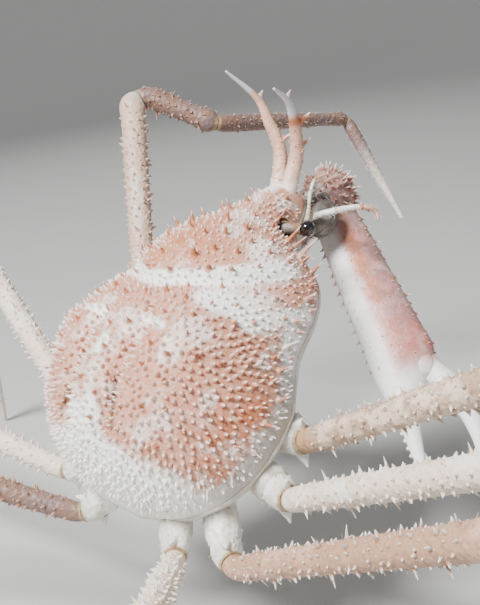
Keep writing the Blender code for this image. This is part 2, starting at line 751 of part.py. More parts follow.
def make_claw_arm(side, material, cutters, rng):
    shoulder, merus_end, carpus_centre, hinge, lower_edge = CLAW_ARMS[side]
    start, end = from_trunk(*shoulder), from_trunk(*merus_end)
    along = (end - start).normalized()
    merus_rings = []
    for place, radius in CLAW_MERUS_RADII:
        ring = Ring(start.lerp(end, place), along, along.cross(Vector((0, 0, 1))), place)
        ring.width = ring.height = radius * MM
        merus_rings.append(ring)
    merus = rooted(f"{side}_claw_merus", merus_rings, 10, material, cutters)

    centre, joint = from_trunk(*carpus_centre), from_trunk(*hinge)
    aim = (joint - centre).normalized()
    bm = make_ball(carpus_centre, CLAW_CARPUS_RADII)
    cut_flat(bm, end + along * SEAM, -along)
    cut_flat(bm, centre + aim * CLAW_CARPUS_REACH * MM, aim)
    carpus = mesh_object(f"{side}_claw_carpus", bm, centre, material)

    edge = TRUNK_MATRIX.to_3x3() @ Vector(lower_edge)
    edge = (edge - aim * edge.dot(aim)).normalized()
    palm_start = centre + aim * (CLAW_CARPUS_REACH * MM + SEAM)
    stretch = (joint - palm_start).length / MM
    palm_rings = claw_rings(PALM_STATIONS, joint, aim, edge, stretch)
    palm = mesh_object(f"{side}_claw_palm", ring_mesh(palm_rings, 12), palm_start, material)
    finger_rings = claw_rings(FINGER_STATIONS, joint, aim, edge, 6)
    finger_cutters = []
    finger = rooted(f"{side}_claw_finger", finger_rings, 10, material, finger_cutters)
    combine(palm, finger_cutters, "DIFFERENCE")

    quarter = [math.pi * (0.25 + 0.5 * k) for k in range(4)]
    fuse_spines(merus, limb_spines(merus_rings, 3, quarter, (0.45, 0.9), (2.0, 3.4), 0.3, rng))
    rows = (0.5 * math.pi, 0.8 * math.pi, 1.2 * math.pi, 1.5 * math.pi)
    fuse_spines(palm, limb_spines(palm_rings, 5, rows, (0.08, 0.48), (1.6, 2.6), 0.3, rng))
    carpus_spines = []
    for _ in range(9):
        outward = Vector((rng.gauss(0, 1), rng.gauss(0, 1), rng.gauss(0, 1))).normalized()
        if outward.dot(aim) > 0.35 or outward.dot(-along) > 0.35:
            continue
        reach = Vector([a * b for a, b in zip(outward, CLAW_CARPUS_RADII)]) * MM
        root = centre + TRUNK_MATRIX.to_3x3() @ reach
        carpus_spines.append((root, TRUNK_MATRIX.to_3x3() @ outward, 3 * MM, 0.8 * MM, 1.4 * MM))
    fuse_spines(carpus, carpus_spines)
    return merus, carpus, palm, finger


def claw_rings(stations, joint, aim, edge, stretch):
    """Rings of a palm or finger from stations measured from the hinge"""
    shortest = stations[0][0]
    rings = []
    centres = []
    for distance, shift, _, _ in stations:
        place = distance if distance > -10 else distance * stretch / -shortest
        centres.append(joint + aim * place * MM + edge * shift * MM)
    for i, (_, _, width, height) in enumerate(stations):
        before, after = centres[max(i - 1, 0)], centres[min(i + 1, len(centres) - 1)]
        tangent = aim if stations[i][0] < 0 else (after - before).normalized()
        ring = Ring(centres[i], tangent, aim.cross(edge), i / (len(stations) - 1))
        ring.width = width * MM
        ring.height = height * MM
        rings.append(ring)
    return rings


def centre_on_floor():
    """Move everything so that the middle of its outline stands at the origin"""
    meshes = [item for item in bpy.data.objects if item.type == "MESH"]
    corners = [item.matrix_world @ vertex.co for item in meshes for vertex in item.data.vertices]
    low = [min(corner[axis] for corner in corners) for axis in range(3)]
    high = [max(corner[axis] for corner in corners) for axis in range(3)]
    shift = Vector(((low[0] + high[0]) / 2, (low[1] + high[1]) / 2, low[2]))
    for item in meshes:
        item.location -= shift


# Main


def main():
    clear_scene()
    rng = random.Random(SEED)
    shell = make_material("shell", SHELL_COLOUR)
    belly = make_material("belly", BELLY_COLOUR)
    horn = make_material("horn", HORN_COLOUR)
    eye = make_material("eye", EYE_COLOUR)
    mouth = make_material("mouth", MOUTH_COLOUR)
    leg = make_material("leg", LEG_COLOUR)
    claw = make_material("claw", CLAW_COLOUR)
    feeler = make_material("feeler", FEELER_COLOUR)
    carapace = make_carapace(shell)
    underside = make_underside(belly)

    shell_cutters = []
    belly_cutters = []
    for side, sign in (("left", 1), ("right", -1)):
        make_horn(side, horn, shell_cutters)
        make_eye(side, sign, eye, shell_cutters)
        x, y, z = ORBIT_CENTRE
        orbit = make_ball((x, y * sign, z), (ORBIT_RADIUS,) * 3)
        shell_cutters.append(mesh_object("socket_cutter", orbit, Vector(), shell))
        antenna = mirror_points(ANTENNA_POINTS, sign)
        antenna_rings = tube_rings(antenna, ANTENNA_RADII, ANTENNA_RADII, 5, Vector((0, 0, 1)))
        rooted(f"{side}_antenna", antenna_rings, 8, feeler, belly_cutters)
        antennule = mirror_points(ANTENNULES[side], 1)
        antennule_rings = tube_rings(antennule, ANTENNULE_RADII, ANTENNULE_RADII, 10, Vector((0, 0, 1)))
        rooted(f"{side}_antennule", antennule_rings, 8, feeler, belly_cutters)
        make_mouthpart(side, sign, mouth, belly_cutters)
        make_claw_arm(side, claw, belly_cutters, rng)
    for side, pair in STANDING_LEGS:
        _, cutter = make_leg(side, pair, standing_points(side, pair), leg, rng)
        belly_cutters.append(cutter)
    _, cutter = make_leg("left", 1, raised_points(), leg, rng)
    belly_cutters.append(cutter)
    combine(carapace, shell_cutters, "DIFFERENCE")
    fuse_spines(carapace, shell_spines(rng))
    combine(underside, belly_cutters, "DIFFERENCE")
    centre_on_floor()


main()
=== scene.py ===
"""Spiny spider crab with two forked horns: the looks of a still, life-size model."""

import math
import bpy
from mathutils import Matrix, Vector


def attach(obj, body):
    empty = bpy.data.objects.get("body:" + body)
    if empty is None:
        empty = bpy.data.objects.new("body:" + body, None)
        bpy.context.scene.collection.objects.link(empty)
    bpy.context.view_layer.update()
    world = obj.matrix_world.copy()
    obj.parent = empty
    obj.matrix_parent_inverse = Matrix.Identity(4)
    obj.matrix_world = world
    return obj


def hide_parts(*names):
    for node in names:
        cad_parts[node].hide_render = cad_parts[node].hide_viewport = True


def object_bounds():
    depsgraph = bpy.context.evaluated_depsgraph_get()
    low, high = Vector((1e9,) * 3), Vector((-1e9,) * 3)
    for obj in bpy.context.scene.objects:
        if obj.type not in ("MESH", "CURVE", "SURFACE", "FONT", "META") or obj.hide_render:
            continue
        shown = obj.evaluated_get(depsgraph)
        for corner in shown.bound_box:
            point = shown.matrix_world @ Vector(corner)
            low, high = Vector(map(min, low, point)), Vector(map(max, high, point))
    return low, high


bl_info = {
    "name": "Spiny spider crab",
    "version": (1, 0, 0),
    "blender": (4, 5, 0),
    "location": "3D View > Sidebar > Crab",
    "description": "Models a still, life-size spiny spider crab around its packed frame",
    "category": "Add Mesh",
}

import bpy
import numpy as np
from mathutils import Matrix, Vector

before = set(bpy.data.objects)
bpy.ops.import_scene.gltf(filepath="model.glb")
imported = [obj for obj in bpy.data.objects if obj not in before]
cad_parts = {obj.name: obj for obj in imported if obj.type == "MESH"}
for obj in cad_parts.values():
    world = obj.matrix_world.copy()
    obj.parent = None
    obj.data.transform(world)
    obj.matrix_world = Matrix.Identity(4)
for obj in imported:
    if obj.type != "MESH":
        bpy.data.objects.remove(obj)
CAD_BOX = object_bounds()
BODY = "root"

MM = 0.001
SEAM = 0.3 * MM
SIDES = (("left", 1), ("right", -1))

# Trunk sizes in the trunk's own axes: X to the nose, Y to the animal's left, Z to its back
SHELL_LENGTH = 120 * MM
SHELL_HALF_WIDTH = 45 * MM
SHELL_DOME = 38 * MM
BELLY_DEPTH = 18 * MM
SHELL_EDGE_LEVEL = -1.5 * MM
TRUNK_PITCH = math.radians(40)
TRUNK_PLACE = Vector((18.583, -2.795, 108)) * MM
TRUNK_MATRIX = Matrix.Translation(TRUNK_PLACE) @ Matrix.Rotation(-TRUNK_PITCH, 4, "Y")
TRUNK_TURN = np.array(TRUNK_MATRIX.to_3x3())

# Place along the shell, then the shares of half width, dome height and belly depth there
TRUNK_STATIONS = (
    (-0.50, 0.20, 0.12, 0.40),
    (-0.47, 0.50, 0.42, 0.72),
    (-0.42, 0.72, 0.68, 0.90),
    (-0.34, 0.91, 0.88, 1.00),
    (-0.24, 1.00, 0.97, 1.00),
    (-0.12, 1.00, 1.00, 1.00),
    (-0.04, 0.90, 0.98, 1.00),
    (0.04, 0.81, 0.94, 0.97),
    (0.14, 0.79, 0.86, 0.92),
    (0.21, 0.73, 0.76, 0.86),
    (0.26, 0.62, 0.68, 0.80),
    (0.31, 0.42, 0.58, 0.74),
    (0.36, 0.27, 0.48, 0.68),
    (0.42, 0.19, 0.36, 0.62),
    (0.47, 0.16, 0.27, 0.50),
    (0.50, 0.13, 0.19, 0.30),
)
# Swollen regions of the shell: place along and across, spread along and across, height
SHELL_REGIONS = (
    (0.17, 0.00, 0.09, 0.34, 3.0 * MM),
    (-0.14, 0.56, 0.15, 0.28, 4.0 * MM),
    (-0.14, -0.56, 0.15, 0.28, 4.0 * MM),
    (-0.25, 0.00, 0.10, 0.14, 2.0 * MM),
)
# White and warm patches of the shell: strength, then place and spread along it and across it
WHITE_PATCHES = (
    (0.6, 0.03, 0.035, 0.60, 0.13),
    (0.9, -0.085, 0.016, 0.31, 0.16),
    (0.9, -0.175, 0.045, 0.0, 0.06),
    (0.75, -0.35, 0.07, 0.08, 0.13),
    (0.5, 0.24, 0.08, 0.72, 0.25),
    (0.55, 0.07, 0.08, 0.82, 0.28),
    (0.35, -0.24, 0.07, 0.80, 0.1),
)
WARM_PATCHES = (
    (0.7, 0.17, 0.13, 0.05, 0.35),
    (0.25, -0.16, 0.16, 0.8, 0.35),
    (0.9, -0.28, 0.12, 0.94, 0.07),
)
WARM_GROUND = 0.25
NECK_GROOVE_PLACE = 0.03
NECK_GROOVE_SWEEP = 0.17
NECK_GROOVE_WIDTH = 0.03
NECK_GROOVE_DEPTH = 2.5 * MM
GILL_GROOVE_ACROSS = 0.24
GILL_GROOVE_WIDTH = 0.07
GILL_GROOVE_DEPTH = 3.0 * MM
GILL_GROOVE_FRONT = -0.06
ABDOMEN_RISE = 1.8 * MM
ABDOMEN_HALF_WIDTH = 0.36
ABDOMEN_FRONT = 0.08
ABDOMEN_SEGMENT = 0.085

# Named spines of the shell's front and edge on both sides: place along, turn from the side in
# degrees, length and root radius in millimetres, and lean to the nose
NAMED_SPINES = (
    (0.41, 28, 4.5, 0.9, 0.5),
    (0.375, 30, 3.8, 0.9, 0.4),
    (0.315, 20, 7.5, 1.2, -0.1),
    (0.33, 6, 5.5, 1.1, 0.0),
    (0.285, 12, 8.5, 1.5, 0.2),
    (0.265, 2, 5.0, 1.1, 0.0),
    (0.235, 6, 3.0, 0.9, 0.4),
    (0.17, 9, 4.5, 1.0, 0.2),
    (0.10, 10, 4.5, 1.0, 0.2),
    (0.03, 8, 5.0, 1.1, 0.3),
    (-0.04, 10, 5.5, 1.1, 0.1),
    (-0.11, 8, 5.0, 1.1, 0.0),
    (-0.18, 10, 5.5, 1.1, -0.1),
    (-0.25, 8, 5.0, 1.0, -0.2),
    (-0.32, 10, 4.5, 1.0, -0.4),
    (-0.38, 12, 4.0, 1.0, -0.6),
)
SPINE_SINK = 0.4 * MM
SPINE_FLARE = 1.5
# The spine behind each eye that forks: place along, turn, length and lean; then its side tips:
# share up it, direction for the right side, length and root radius
FORKED_SPINE = (0.285, 12, 8.5, 0.2)
SIDE_TIPS = ((0.15, (0.1, -1.0, -0.35), 5.0, 1.5), (0.0, (-0.6, -1.0, -0.5), 4.0, 1.3))
# Heights and widths of a spine that flares into its ground, a small cone, a hair and a round knob
FLARED = ((0.0, 1.0), (0.12, 0.6), (0.32, 0.36), (0.66, 0.2), (1.0, 0.05))
CONE = ((0.0, 1.0), (0.25, 0.74), (0.65, 0.36), (1.0, 0.1))
HAIR = ((0.0, 1.0), (0.45, 0.7), (1.0, 0.15))
KNOB = ((0.0, 1.0), (0.45, 0.9), (0.8, 0.6), (1.0, 0.1))
THORN = ((0.0, 1.0), (0.3, 0.85), (0.65, 0.5), (1.0, 0.12))
TRUNK_GRID = (192, 144)
CHART_PATCH = 0.003
# Least distance between two larger spines and between two cones, and the places tried for them
SPINE_SPACING = 6.4 * MM
SPINE_TRIES = 12000
CONE_SPACING = 2.1 * MM
CONE_TRIES = 60000
# Share of a spine's root radius that is sunk in a limb
ROOT_SINK = 0.4
HAIR_RADIUS = 0.075 * MM
# Hairs on tubes: root radius in millimetres and mean lean
THIN_HAIR = 0.06
HAIR_LEAN = 0.8
# Coats of hair on tubes: how many, the stretch that they grow on, and their lengths in millimetres
HAIR_COATS = {
    "feeler": (60, (0.4, 0.98), (0.7, 1.7)),
    "palp": (90, (0.05, 0.98), (0.8, 2.0)),
    "finger": (70, (0.2, 0.5), (0.8, 1.7)),
    "base": (20, (0.08, 0.97), (0.6, 1.6)),
    "merus": (160, (0.08, 0.97), (0.6, 1.6)),
    "carpus": (60, (0.08, 0.97), (0.6, 1.6)),
    "propodus": (200, (0.08, 0.97), (0.6, 1.6)),
    "dactylus": (260, (0.08, 0.78), (0.6, 1.6)),
}
# Rings along each kind of tube and faces round it
TUBE_GRIDS = {
    "horn": (72, 28),
    "antennule": (90, 18),
    "antenna": (60, 18),
    "side_branch": (20, 12),
    "palp": (32, 18),
    "claw_merus": (48, 28),
    "palm": (110, 44),
    "finger": (60, 30),
}
# Starts of the random draws of each group; each side or limb adds its number
SEEDS = {"shell": 31, "horns": 40, "feelers": 60, "mouthparts": 80, "claws": 100, "legs": 200}
GLOSS_SCALE = 420

# Points on the horns' middle lines in trunk millimetres, and the radii there
HORN_POINTS = {
    "left": (
        (54, 3, 2), (62.2, 3.2, 5.4), (66, 3.4, 7.3), (72.4, 4.6, 11.6), (76.9, 7, 18.4),
        (81.2, 9.6, 26.3), (80.6, 12.5, 40.8),
    ),
    "right": (
        (54, -3, 2), (62.1, -3.2, 6.1), (68.3, -3.6, 8.9), (72, -4.6, 12.5), (76, -6.3, 19.5),
        (78, -8.4, 28), (75.9, -10, 37),
    ),
}
HORN_RADII = (2.6, 2.7, 2.5, 2.3, 1.9, 1.2, 0.4)
# Spines of the horns: share of the way up, length, root radius, and how far they turn to the left
HORN_SPINES = {
    "left": (
        (0.82, 4.6, 1.1, 0.45), (0.52, 4.6, 1.0, -0.8), (0.42, 2.2, 0.7, -0.3), (0.30, 5.6, 0.9, 1.4),
        (0.24, 5.6, 0.9, 1.8),
    ),
    "right": (
        (0.65, 5.4, 1.2, -0.6), (0.86, 3.2, 0.9, 0.3), (0.61, 2.8, 0.8, -0.2), (0.47, 5.2, 1.0, -0.6),
        (0.34, 2.6, 0.8, -0.5),
    ),
}
HORN_SPINE_DROP = -0.1
HORN_GRAINS = 46
# Share of the way up where a horn turns white grey, and the strength of its orange ring
HORN_PAINT = {"left": (0.79, 0.0), "right": (0.70, 0.95)}
# Ends of the left eye's line in trunk millimetres, and its radii in millimetres at shares of it
EYE_ENDS = ((45.0, 8.0, 4.2), (47.2, 19.6, 1.6))
EYE_STALK = ((0.0, 2.2), (0.14, 2.3), (0.30, 2.0), (0.40, 1.6), (0.50, 1.75), (0.60, 2.2), (0.66, 2.3))
EYE_GLOBE_PLACE = 0.785
EYE_GLOBE_RADIUS = 2.8 * MM
EYE_BLACK = (0.006, 0.006, 0.008)
EYE_BROWN = (0.03, 0.018, 0.012)
ORBITS = [np.array([45.0, 12.0 * sign, 5.0]) for _, sign in SIDES]
ORBIT_RADIUS = 4.2
# Place in front of which nothing grows on the shell between the horns
SNOUT_END = 55 * MM
# Feelers, mouth plates and palps in trunk millimetres
ANTENNULES = {
    "right": (
        (49, -3.5, -5.5), (55.5, -6.8, -6), (60.3, -17, -6.6),
        (63.6, -26, -8.3), (63.8, -28.5, -11.3), (61.5, -30, -12.5),
    ),
    "left": (
        (49, 3.5, -5.5), (57, 4, -6), (64, 1, -7),
        (69, -3.5, -6.2), (74, -7, -7.2), (75.5, -8.5, -9),
    ),
}
ANTENNULE_RADII = (1.1, 1.1, 1.1, 0.9, 0.7, 0.4)
ANTENNULE_JOINTS = (0.30, 0.52, 0.78)
ANTENNA_POINTS = ((49, 7, -5), (55, 8.6, -3.4), (61, 8.4, 0), (67, 8.2, 1.2), (71, 10.8, -1.2))
ANTENNA_RADII = (1.1, 0.8, 0.6, 0.5, 0.25)
ANTENNA_JOINTS = (0.35, 0.6)
# The antennules' side branch: place along, length, radius at its start and how far it thins
SIDE_BRANCH = (0.76, 3.6, 0.75, 0.55)
MOUTH_CENTRE = (59.8, 5.4, -13.2)
MOUTH_RADII = (7.8, 5.4, 5.6)
PALP_POINTS = ((58, 3.6, -17.5), (64.6, 3.4, -15.2), (68.2, 3.4, -11.5), (66.2, 3.6, -8.2))
PALP_RADII = (1.4, 1.5, 1.4, 0.8)

# Claw arms: shoulder, far end of the merus, centre of the carpus, hinge of the fingers, lower edge
CLAW_ARMS = {
    "left": ((10, 23, -15), (66.5, 14.8, -26.3), (74.7, 8, -23.1), (24.7, -41, -49.8), (-0.79, 0.53, 0.32)),
    "right": ((9, -15, -14), (35.5, 14.5, -34), (40.5, 21, -38.5), (12, 70, -66), (-0.79, -0.53, 0.32)),
}
CLAW_MERUS_RADII = ((0.0, 4.6), (0.2, 5.0), (0.6, 5.4), (0.92, 5.8), (1.0, 5.0))
CLAW_CARPUS_RADII = (11.5, 10.0, 10.5)
CLAW_CARPUS_REACH = 8.0
CLAW_MERUS_SPINES = 120
CLAW_CARPUS_SPINES = 300
FINGER_SPINES = 22
# The palm's spines: rows round it, spines in a row and the share of its length between two
PALM_SPINES = (10, 16, 0.038)
# Palm and finger: distance from the hinge, shift to the lower edge, half thickness and half height
PALM_STATIONS = (
    (-66, 0.0, 5.4, 7.6),
    (-60, 0.0, 6.2, 8.5),
    (-40, 0.0, 6.8, 9.7),
    (-16, 0.0, 7.4, 11.0),
    (-5, 0.2, 7.4, 11.4),
    (2, 3.0, 5.8, 8.4),
    (9, 5.6, 4.4, 5.4),
    (18, 7.4, 3.1, 3.2),
    (28, 9.0, 1.8, 1.9),
    (34, 9.8, 0.6, 0.7),
)
FINGER_STATIONS = (
    (-6, -5.5, 3.6, 3.8),
    (1, -7.5, 3.9, 4.4),
    (9, -10.6, 3.8, 4.3),
    (19, -12.4, 3.1, 3.5),
    (28, -11.6, 2.0, 2.3),
    (35, -9.2, 0.6, 0.7),
)

# Half sizes and place of a lobe at the finger's hinge: ahead, to the lower edge and across
HINGE_LOBE = (4.8, 4.6, 4.4)
HINGE_LOBE_PLACE = (-1.4, -4.8, 1.5)
# Rows of teeth: first and last place along, and how many
PALM_TEETH = (0.74, 0.95, 9)
FINGER_TEETH = (0.40, 0.92, 10)
# Stripe, pink and grey shares of the arm before the palm
CARPUS_PAINT = (0.15, 0.8, 0.8)

# Leg radii in millimetres at places along each segment
LEG_PROFILES = {
    "base": ((0.0, 6.0), (0.45, 6.5), (0.85, 5.6), (1.0, 4.2)),
    "merus": ((0.0, 3.7), (0.05, 4.0), (0.5, 4.6), (0.90, 5.0), (0.96, 5.5), (1.0, 3.8)),
    "carpus": ((0.0, 3.6), (0.12, 4.4), (0.7, 4.1), (0.92, 4.7), (1.0, 3.2)),
    "propodus": ((0.0, 3.0), (0.08, 3.6), (0.55, 3.2), (0.9, 2.8), (0.95, 3.3), (1.0, 2.3)),
    "dactylus": ((0.0, 2.2), (0.1, 2.9), (0.5, 2.3), (0.85, 1.3), (1.0, 0.8)),
}
LEG_CORNERS = (8.0 * MM, 6.2 * MM, 5.6 * MM, 5.0 * MM)
LEG_GIRTHS = {1: 1.0, 2: 0.96, 3: 0.93, 4: 0.88}
FOOT_DEPTH = 1.2 * MM
DACTYLUS_STEEPER = math.radians(14)
# Lengths of a leg's four long segments, by pair
LEG_LENGTHS = {
    1: (111 * MM, 38 * MM, 75 * MM, 52 * MM),
    2: (116 * MM, 40 * MM, 78 * MM, 55 * MM),
    3: (110 * MM, 38 * MM, 74 * MM, 53 * MM),
    4: (98 * MM, 35 * MM, 66 * MM, 48 * MM),
}
# Inner and outer end of the base in trunk millimetres, heading and rise of the merus and of the
# carpus, and heading of the rest; the raised leg has a heading and a rise for each long segment
STANDING_LEGS = {
    ("right", 1): ((-16, -31, -10), (-19, -48, -9), (-86, 26), (-76, -30), -70),
    ("right", 2): ((-31, -31, -10), (-37, -52, -10), (-91, 24), (-90, -25), -92),
    ("right", 3): ((-42, -24, -9), (-62, -40, -14), (-92, 26), (-106, -20), -110),
    ("right", 4): ((-50, -13, -7), (-67, -24, -8), (-134, 20), (-140, -20), -140),
    ("left", 2): ((-31, 31, -10), (-37, 52, -10), (77, 27), (70, -28), 64),
    ("left", 3): ((-42, 24, -9), (-56, 45, -9), (103, 12), (103, -2), 100),
    ("left", 4): ((-50, 13, -7), (-67, 24, -8), (128, 22), (134, -15), 136),
}
RAISED_LEG = ((-10, 30, -10), (2, 43, -8), ((46, 45), (-54, -28), (-4, -10), (-83, -61)))
# Rings in the straight stretch of each segment, faces round it, and shares of its rounded corners
LEG_STEPS = (8, 60, 18, 42, 30)
LEG_FACES = 24
BEND_HEAD = np.linspace(0.5, 1, 7)
BEND_TAIL = np.linspace(0, 0.5, 7)
# Teeth at the end of the base: quarter turns round it, length and root radius
BASE_TEETH = ((1, 5.0, 2.3), (-1, 3.2, 1.8))
# For each segment: rows of cones, the gap and the lengths in a row, long spines and small cones
LEG_GROWTH = {
    "base": (8, 3.8, (0.5, 1.1), 0, 20),
    "merus": (10, 4.1, (1.4, 2.4), 14, 60),
    "carpus": (10, 4.2, (1.1, 2.0), 3, 24),
    "propodus": (8, 4.0, (0.6, 1.2), 0, 40),
    "dactylus": (0, 1.0, (0, 0), 0, 30),
}
# Where a segment's rows of cones and its long spines start, and the share of it that they take up
ROW_START, ROW_REACH = 0.05, 0.87
LONG_START, LONG_REACH = 0.06, 0.86
LEG_FINISHES = {
    ("right", 1): "leg",
    ("right", 2): "leg_pale",
    ("right", 3): "leg_pink",
    ("right", 4): "leg_pale",
    ("left", 2): "leg_pale",
    ("left", 3): "leg_pale",
    ("left", 4): "leg_mauve",
}

# Camera in trunk axes, worked out from the photograph
CAMERA_FROM = Vector((-0.23, -0.73, 0.65))
CAMERA_UP = Vector((0.86, 0.17, 0.49))
CAMERA_DISTANCE = 331 * MM
CAMERA_LENS = 59.5
CAMERA_SHIFT = (0.0498, 0.0707)
CAMERA_CLIP = 0.01

# Lights in metres and watts, and the floor's flat round and the curve of its edge
LIGHTS = (
    ("key_light", (-0.62, -0.1, 1.0), 34.0, 0.32),
    ("fill_light", (0.05, -1.05, 0.25), 0.7, 0.8),
    ("back_light", (0.5, 0.9, 0.8), 4.0, 0.8),
)
WORLD_STRENGTH = 0.25
WORLD_COLOUR = (0.92, 0.94, 0.97, 1)
LIGHT_AIM = Vector((0, 0, 0.1))
FLOOR_SIZE = 6
FLOOR_STEPS = 140
FLOOR_RADIUS = 1.5
COVE_RADIUS = 0.8
BACKDROP_SLOPE = 2


# Settings a user would change


def count_property(name, description, default):
    return bpy.props.IntProperty(name=name, description=description, default=default, min=0)


def length_property(name, description, default):
    return bpy.props.FloatProperty(name=name, description=description, default=default, unit="LENGTH")


class CrabSizes(bpy.types.PropertyGroup):
    """Sizes and counts of the fine forms"""

    tubercles: count_property("Tubercles", "Small cones on the shell", 2100)
    spines: count_property("Spines", "Larger spines on the shell", 230)
    bristles: count_property("Bristles", "Short hairs on the shell", 2200)
    tubercle_length: length_property("Tubercle length", "Mean height of a small cone", 0.0019)
    bristle_length: length_property("Bristle length", "Mean length of a hair", 0.0020)


def colour_property(name, description, default):
    return bpy.props.FloatVectorProperty(
        name=name, description=description, default=default, subtype="COLOR", size=3, min=0, max=1
    )


class CrabColours(bpy.types.PropertyGroup):
    """Colours from the photograph, as linear values"""

    shell: colour_property("Shell", "Pale pink ground of the shell", (0.62, 0.35, 0.26))
    warm: colour_property("Warm", "Orange of the shell's domes", (0.54, 0.18, 0.075))
    white: colour_property("White", "White bands and rear of the shell", (0.90, 0.91, 0.88))
    # Brown used as painted shade in the shell's grooves, creases and eye hollows, and for dark specks on the
    # limbs and claws
    shade_and_dirt: colour_property("Shade and dirt", "Brown in grooves and round roots", (0.14, 0.055, 0.02))
    cone_tip: colour_property("Cone tip", "Pale tip of a small cone", (0.94, 0.84, 0.76))
    spine_brown: colour_property("Spine brown", "Brown orange of a larger spine", (0.44, 0.13, 0.045))
    belly: colour_property("Belly", "Cream grey of the underside", (0.62, 0.58, 0.50))
    leg: colour_property("Leg", "Cream brown of the legs", (0.78, 0.62, 0.48))
    leg_pale: colour_property("Pale leg", "Whitish legs", (0.86, 0.82, 0.74))
    leg_pink: colour_property("Pink leg", "Pinkish legs", (0.62, 0.38, 0.27))
    leg_mauve: colour_property("Mauve leg", "Grey mauve legs", (0.20, 0.135, 0.13))
    leg_brown: colour_property("Leg brown", "Brown mottling of the legs", (0.26, 0.12, 0.05))
    leg_ring: colour_property("Leg ring", "Orange ring at the start of a leg", (0.42, 0.21, 0.09))
    claw_pink: colour_property("Claw pink", "Pink upper side of the claw", (0.50, 0.17, 0.14))
    claw_white: colour_property("Claw white", "White lower edge of the claw", (0.92, 0.91, 0.90))
    horn: colour_property("Horn", "Cream pink shaft of a horn", (0.74, 0.46, 0.34))
    horn_tip: colour_property("Horn tip", "White grey tip of a horn", (0.68, 0.69, 0.72))
    mouth: colour_property("Mouth", "Grey of the mouth plates", (0.09, 0.075, 0.065))
    feeler: colour_property("Feeler", "Brown yellow of the antennae", (0.42, 0.27, 0.12))
    mouth_pale: colour_property("Pale mouth", "Paler patches of the mouth plates", (0.20, 0.18, 0.155))
    # Painted shade: grey on the shell's bent edge, which faces away from the light
    skirt: colour_property("Skirt", "Grey of the shell's bent edge", (0.42, 0.40, 0.37))
    membrane: colour_property("Membrane", "Yellowish skin in the joints", (0.40, 0.29, 0.16))
    hair: colour_property("Hair", "Pale straw bristles", (0.70, 0.62, 0.50))
    floor: colour_property("Floor", "Pale floor", (0.52, 0.52, 0.51))


# Shared geometry


def smooth_value(stations, place, column):
    """Smooth value of one column of a table whose first column is the place; place may be an array"""
    table = np.array(stations, float)
    xs, ys = table[:, 0], table[:, column]
    index = np.clip(np.searchsorted(xs, place, side="left") - 1, 0, len(xs) - 2)
    before, after = np.maximum(index - 1, 0), np.minimum(index + 2, len(xs) - 1)
    span = xs[index + 1] - xs[index]
    share = np.clip((place - xs[index]) / span, 0, 1)
    slope_left = (ys[index + 1] - ys[before]) / (xs[index + 1] - xs[before]) * span
    slope_right = (ys[after] - ys[index]) / (xs[after] - xs[index]) * span
    square, cube = share**2, share**3
    return (
        (2 * cube - 3 * square + 1) * ys[index]
        + (cube - 2 * square + share) * slope_left
        + (3 * square - 2 * cube) * ys[index + 1]
        + (cube - square) * slope_right
    )


def bell(value, middle, width):
    """Smooth bump of height 1"""
    return np.exp(-(((value - middle) / width) ** 2))


def ramp(value, middle, width):
    """Smooth step from 0 to 1"""
    return 1 / (1 + np.exp(np.clip((middle - value) / width, -60, 60)))


def shell_swell(along, across):
    """Rise of the shell's regions and depth of its grooves"""
    rise = 0
    for place, side, spread_along, spread_across, height in SHELL_REGIONS:
        rise = rise + height * bell(along, place, spread_along) * bell(across, side, spread_across)
    neck = NECK_GROOVE_PLACE + NECK_GROOVE_SWEEP * across**2
    rise = rise - NECK_GROOVE_DEPTH * bell(along, neck, NECK_GROOVE_WIDTH)
    gill = bell(np.abs(across), GILL_GROOVE_ACROSS, GILL_GROOVE_WIDTH)
    return rise - GILL_GROOVE_DEPTH * gill * ramp(-along, -GILL_GROOVE_FRONT, 0.02) * ramp(along, -0.42, 0.02)


def belly_swell(along, across):
    """Rise of the abdomen folded under the belly, with the grooves between its segments"""
    edge = ramp(-np.abs(across), -ABDOMEN_HALF_WIDTH, 0.02)
    front = ramp(-along, -ABDOMEN_FRONT, 0.01)
    groove = 0.35 * bell(np.mod(along + 0.5, ABDOMEN_SEGMENT), ABDOMEN_SEGMENT / 2, 0.007)
    return ABDOMEN_RISE * edge * front * (1 - groove)


def trunk_surface(along, turn):
    """Points in trunk axes on the trunk's surface; a turn of a quarter circle is the back"""
    along, turn = np.asarray(along, float), np.asarray(turn, float)
    cosine, sine = np.cos(turn), np.sin(turn)
    width = smooth_value(TRUNK_STATIONS, along, 1) * SHELL_HALF_WIDTH
    dome = smooth_value(TRUNK_STATIONS, along, 2) * SHELL_DOME
    belly = smooth_value(TRUNK_STATIONS, along, 3) * BELLY_DEPTH
    height = np.where(sine >= 0, dome, belly)
    swell = np.where(sine > 0, shell_swell(along, cosine), belly_swell(along, cosine))
    return np.stack([along * SHELL_LENGTH, (width + swell * sine) * cosine, (height + swell) * sine], axis=-1)


def trunk_normals(along, turn):
    step = 0.004
    ahead = trunk_surface(along + step, turn) - trunk_surface(along - step, turn)
    around = trunk_surface(along, turn + step) - trunk_surface(along, turn - step)
    normal = np.cross(around, ahead)
    return normal / np.linalg.norm(normal, axis=-1, keepdims=True)


def to_world(points):
    """Points in trunk axes, in metres, brought into the model's axes"""
    return points @ TRUNK_TURN.T + np.array(TRUNK_PLACE)


def from_trunk(x, y, z):
    return np.array(TRUNK_MATRIX @ (Vector((x, y, z)) * MM))


def unit(vector):
    return vector / np.linalg.norm(vector)


def smooth_curve(points, shares):
    """Points on a smooth curve through the given ones"""
    stations = np.column_stack([np.linspace(0, 1, len(points)), points])
    return np.stack([smooth_value(stations, shares, column) for column in (1, 2, 3)], axis=-1)


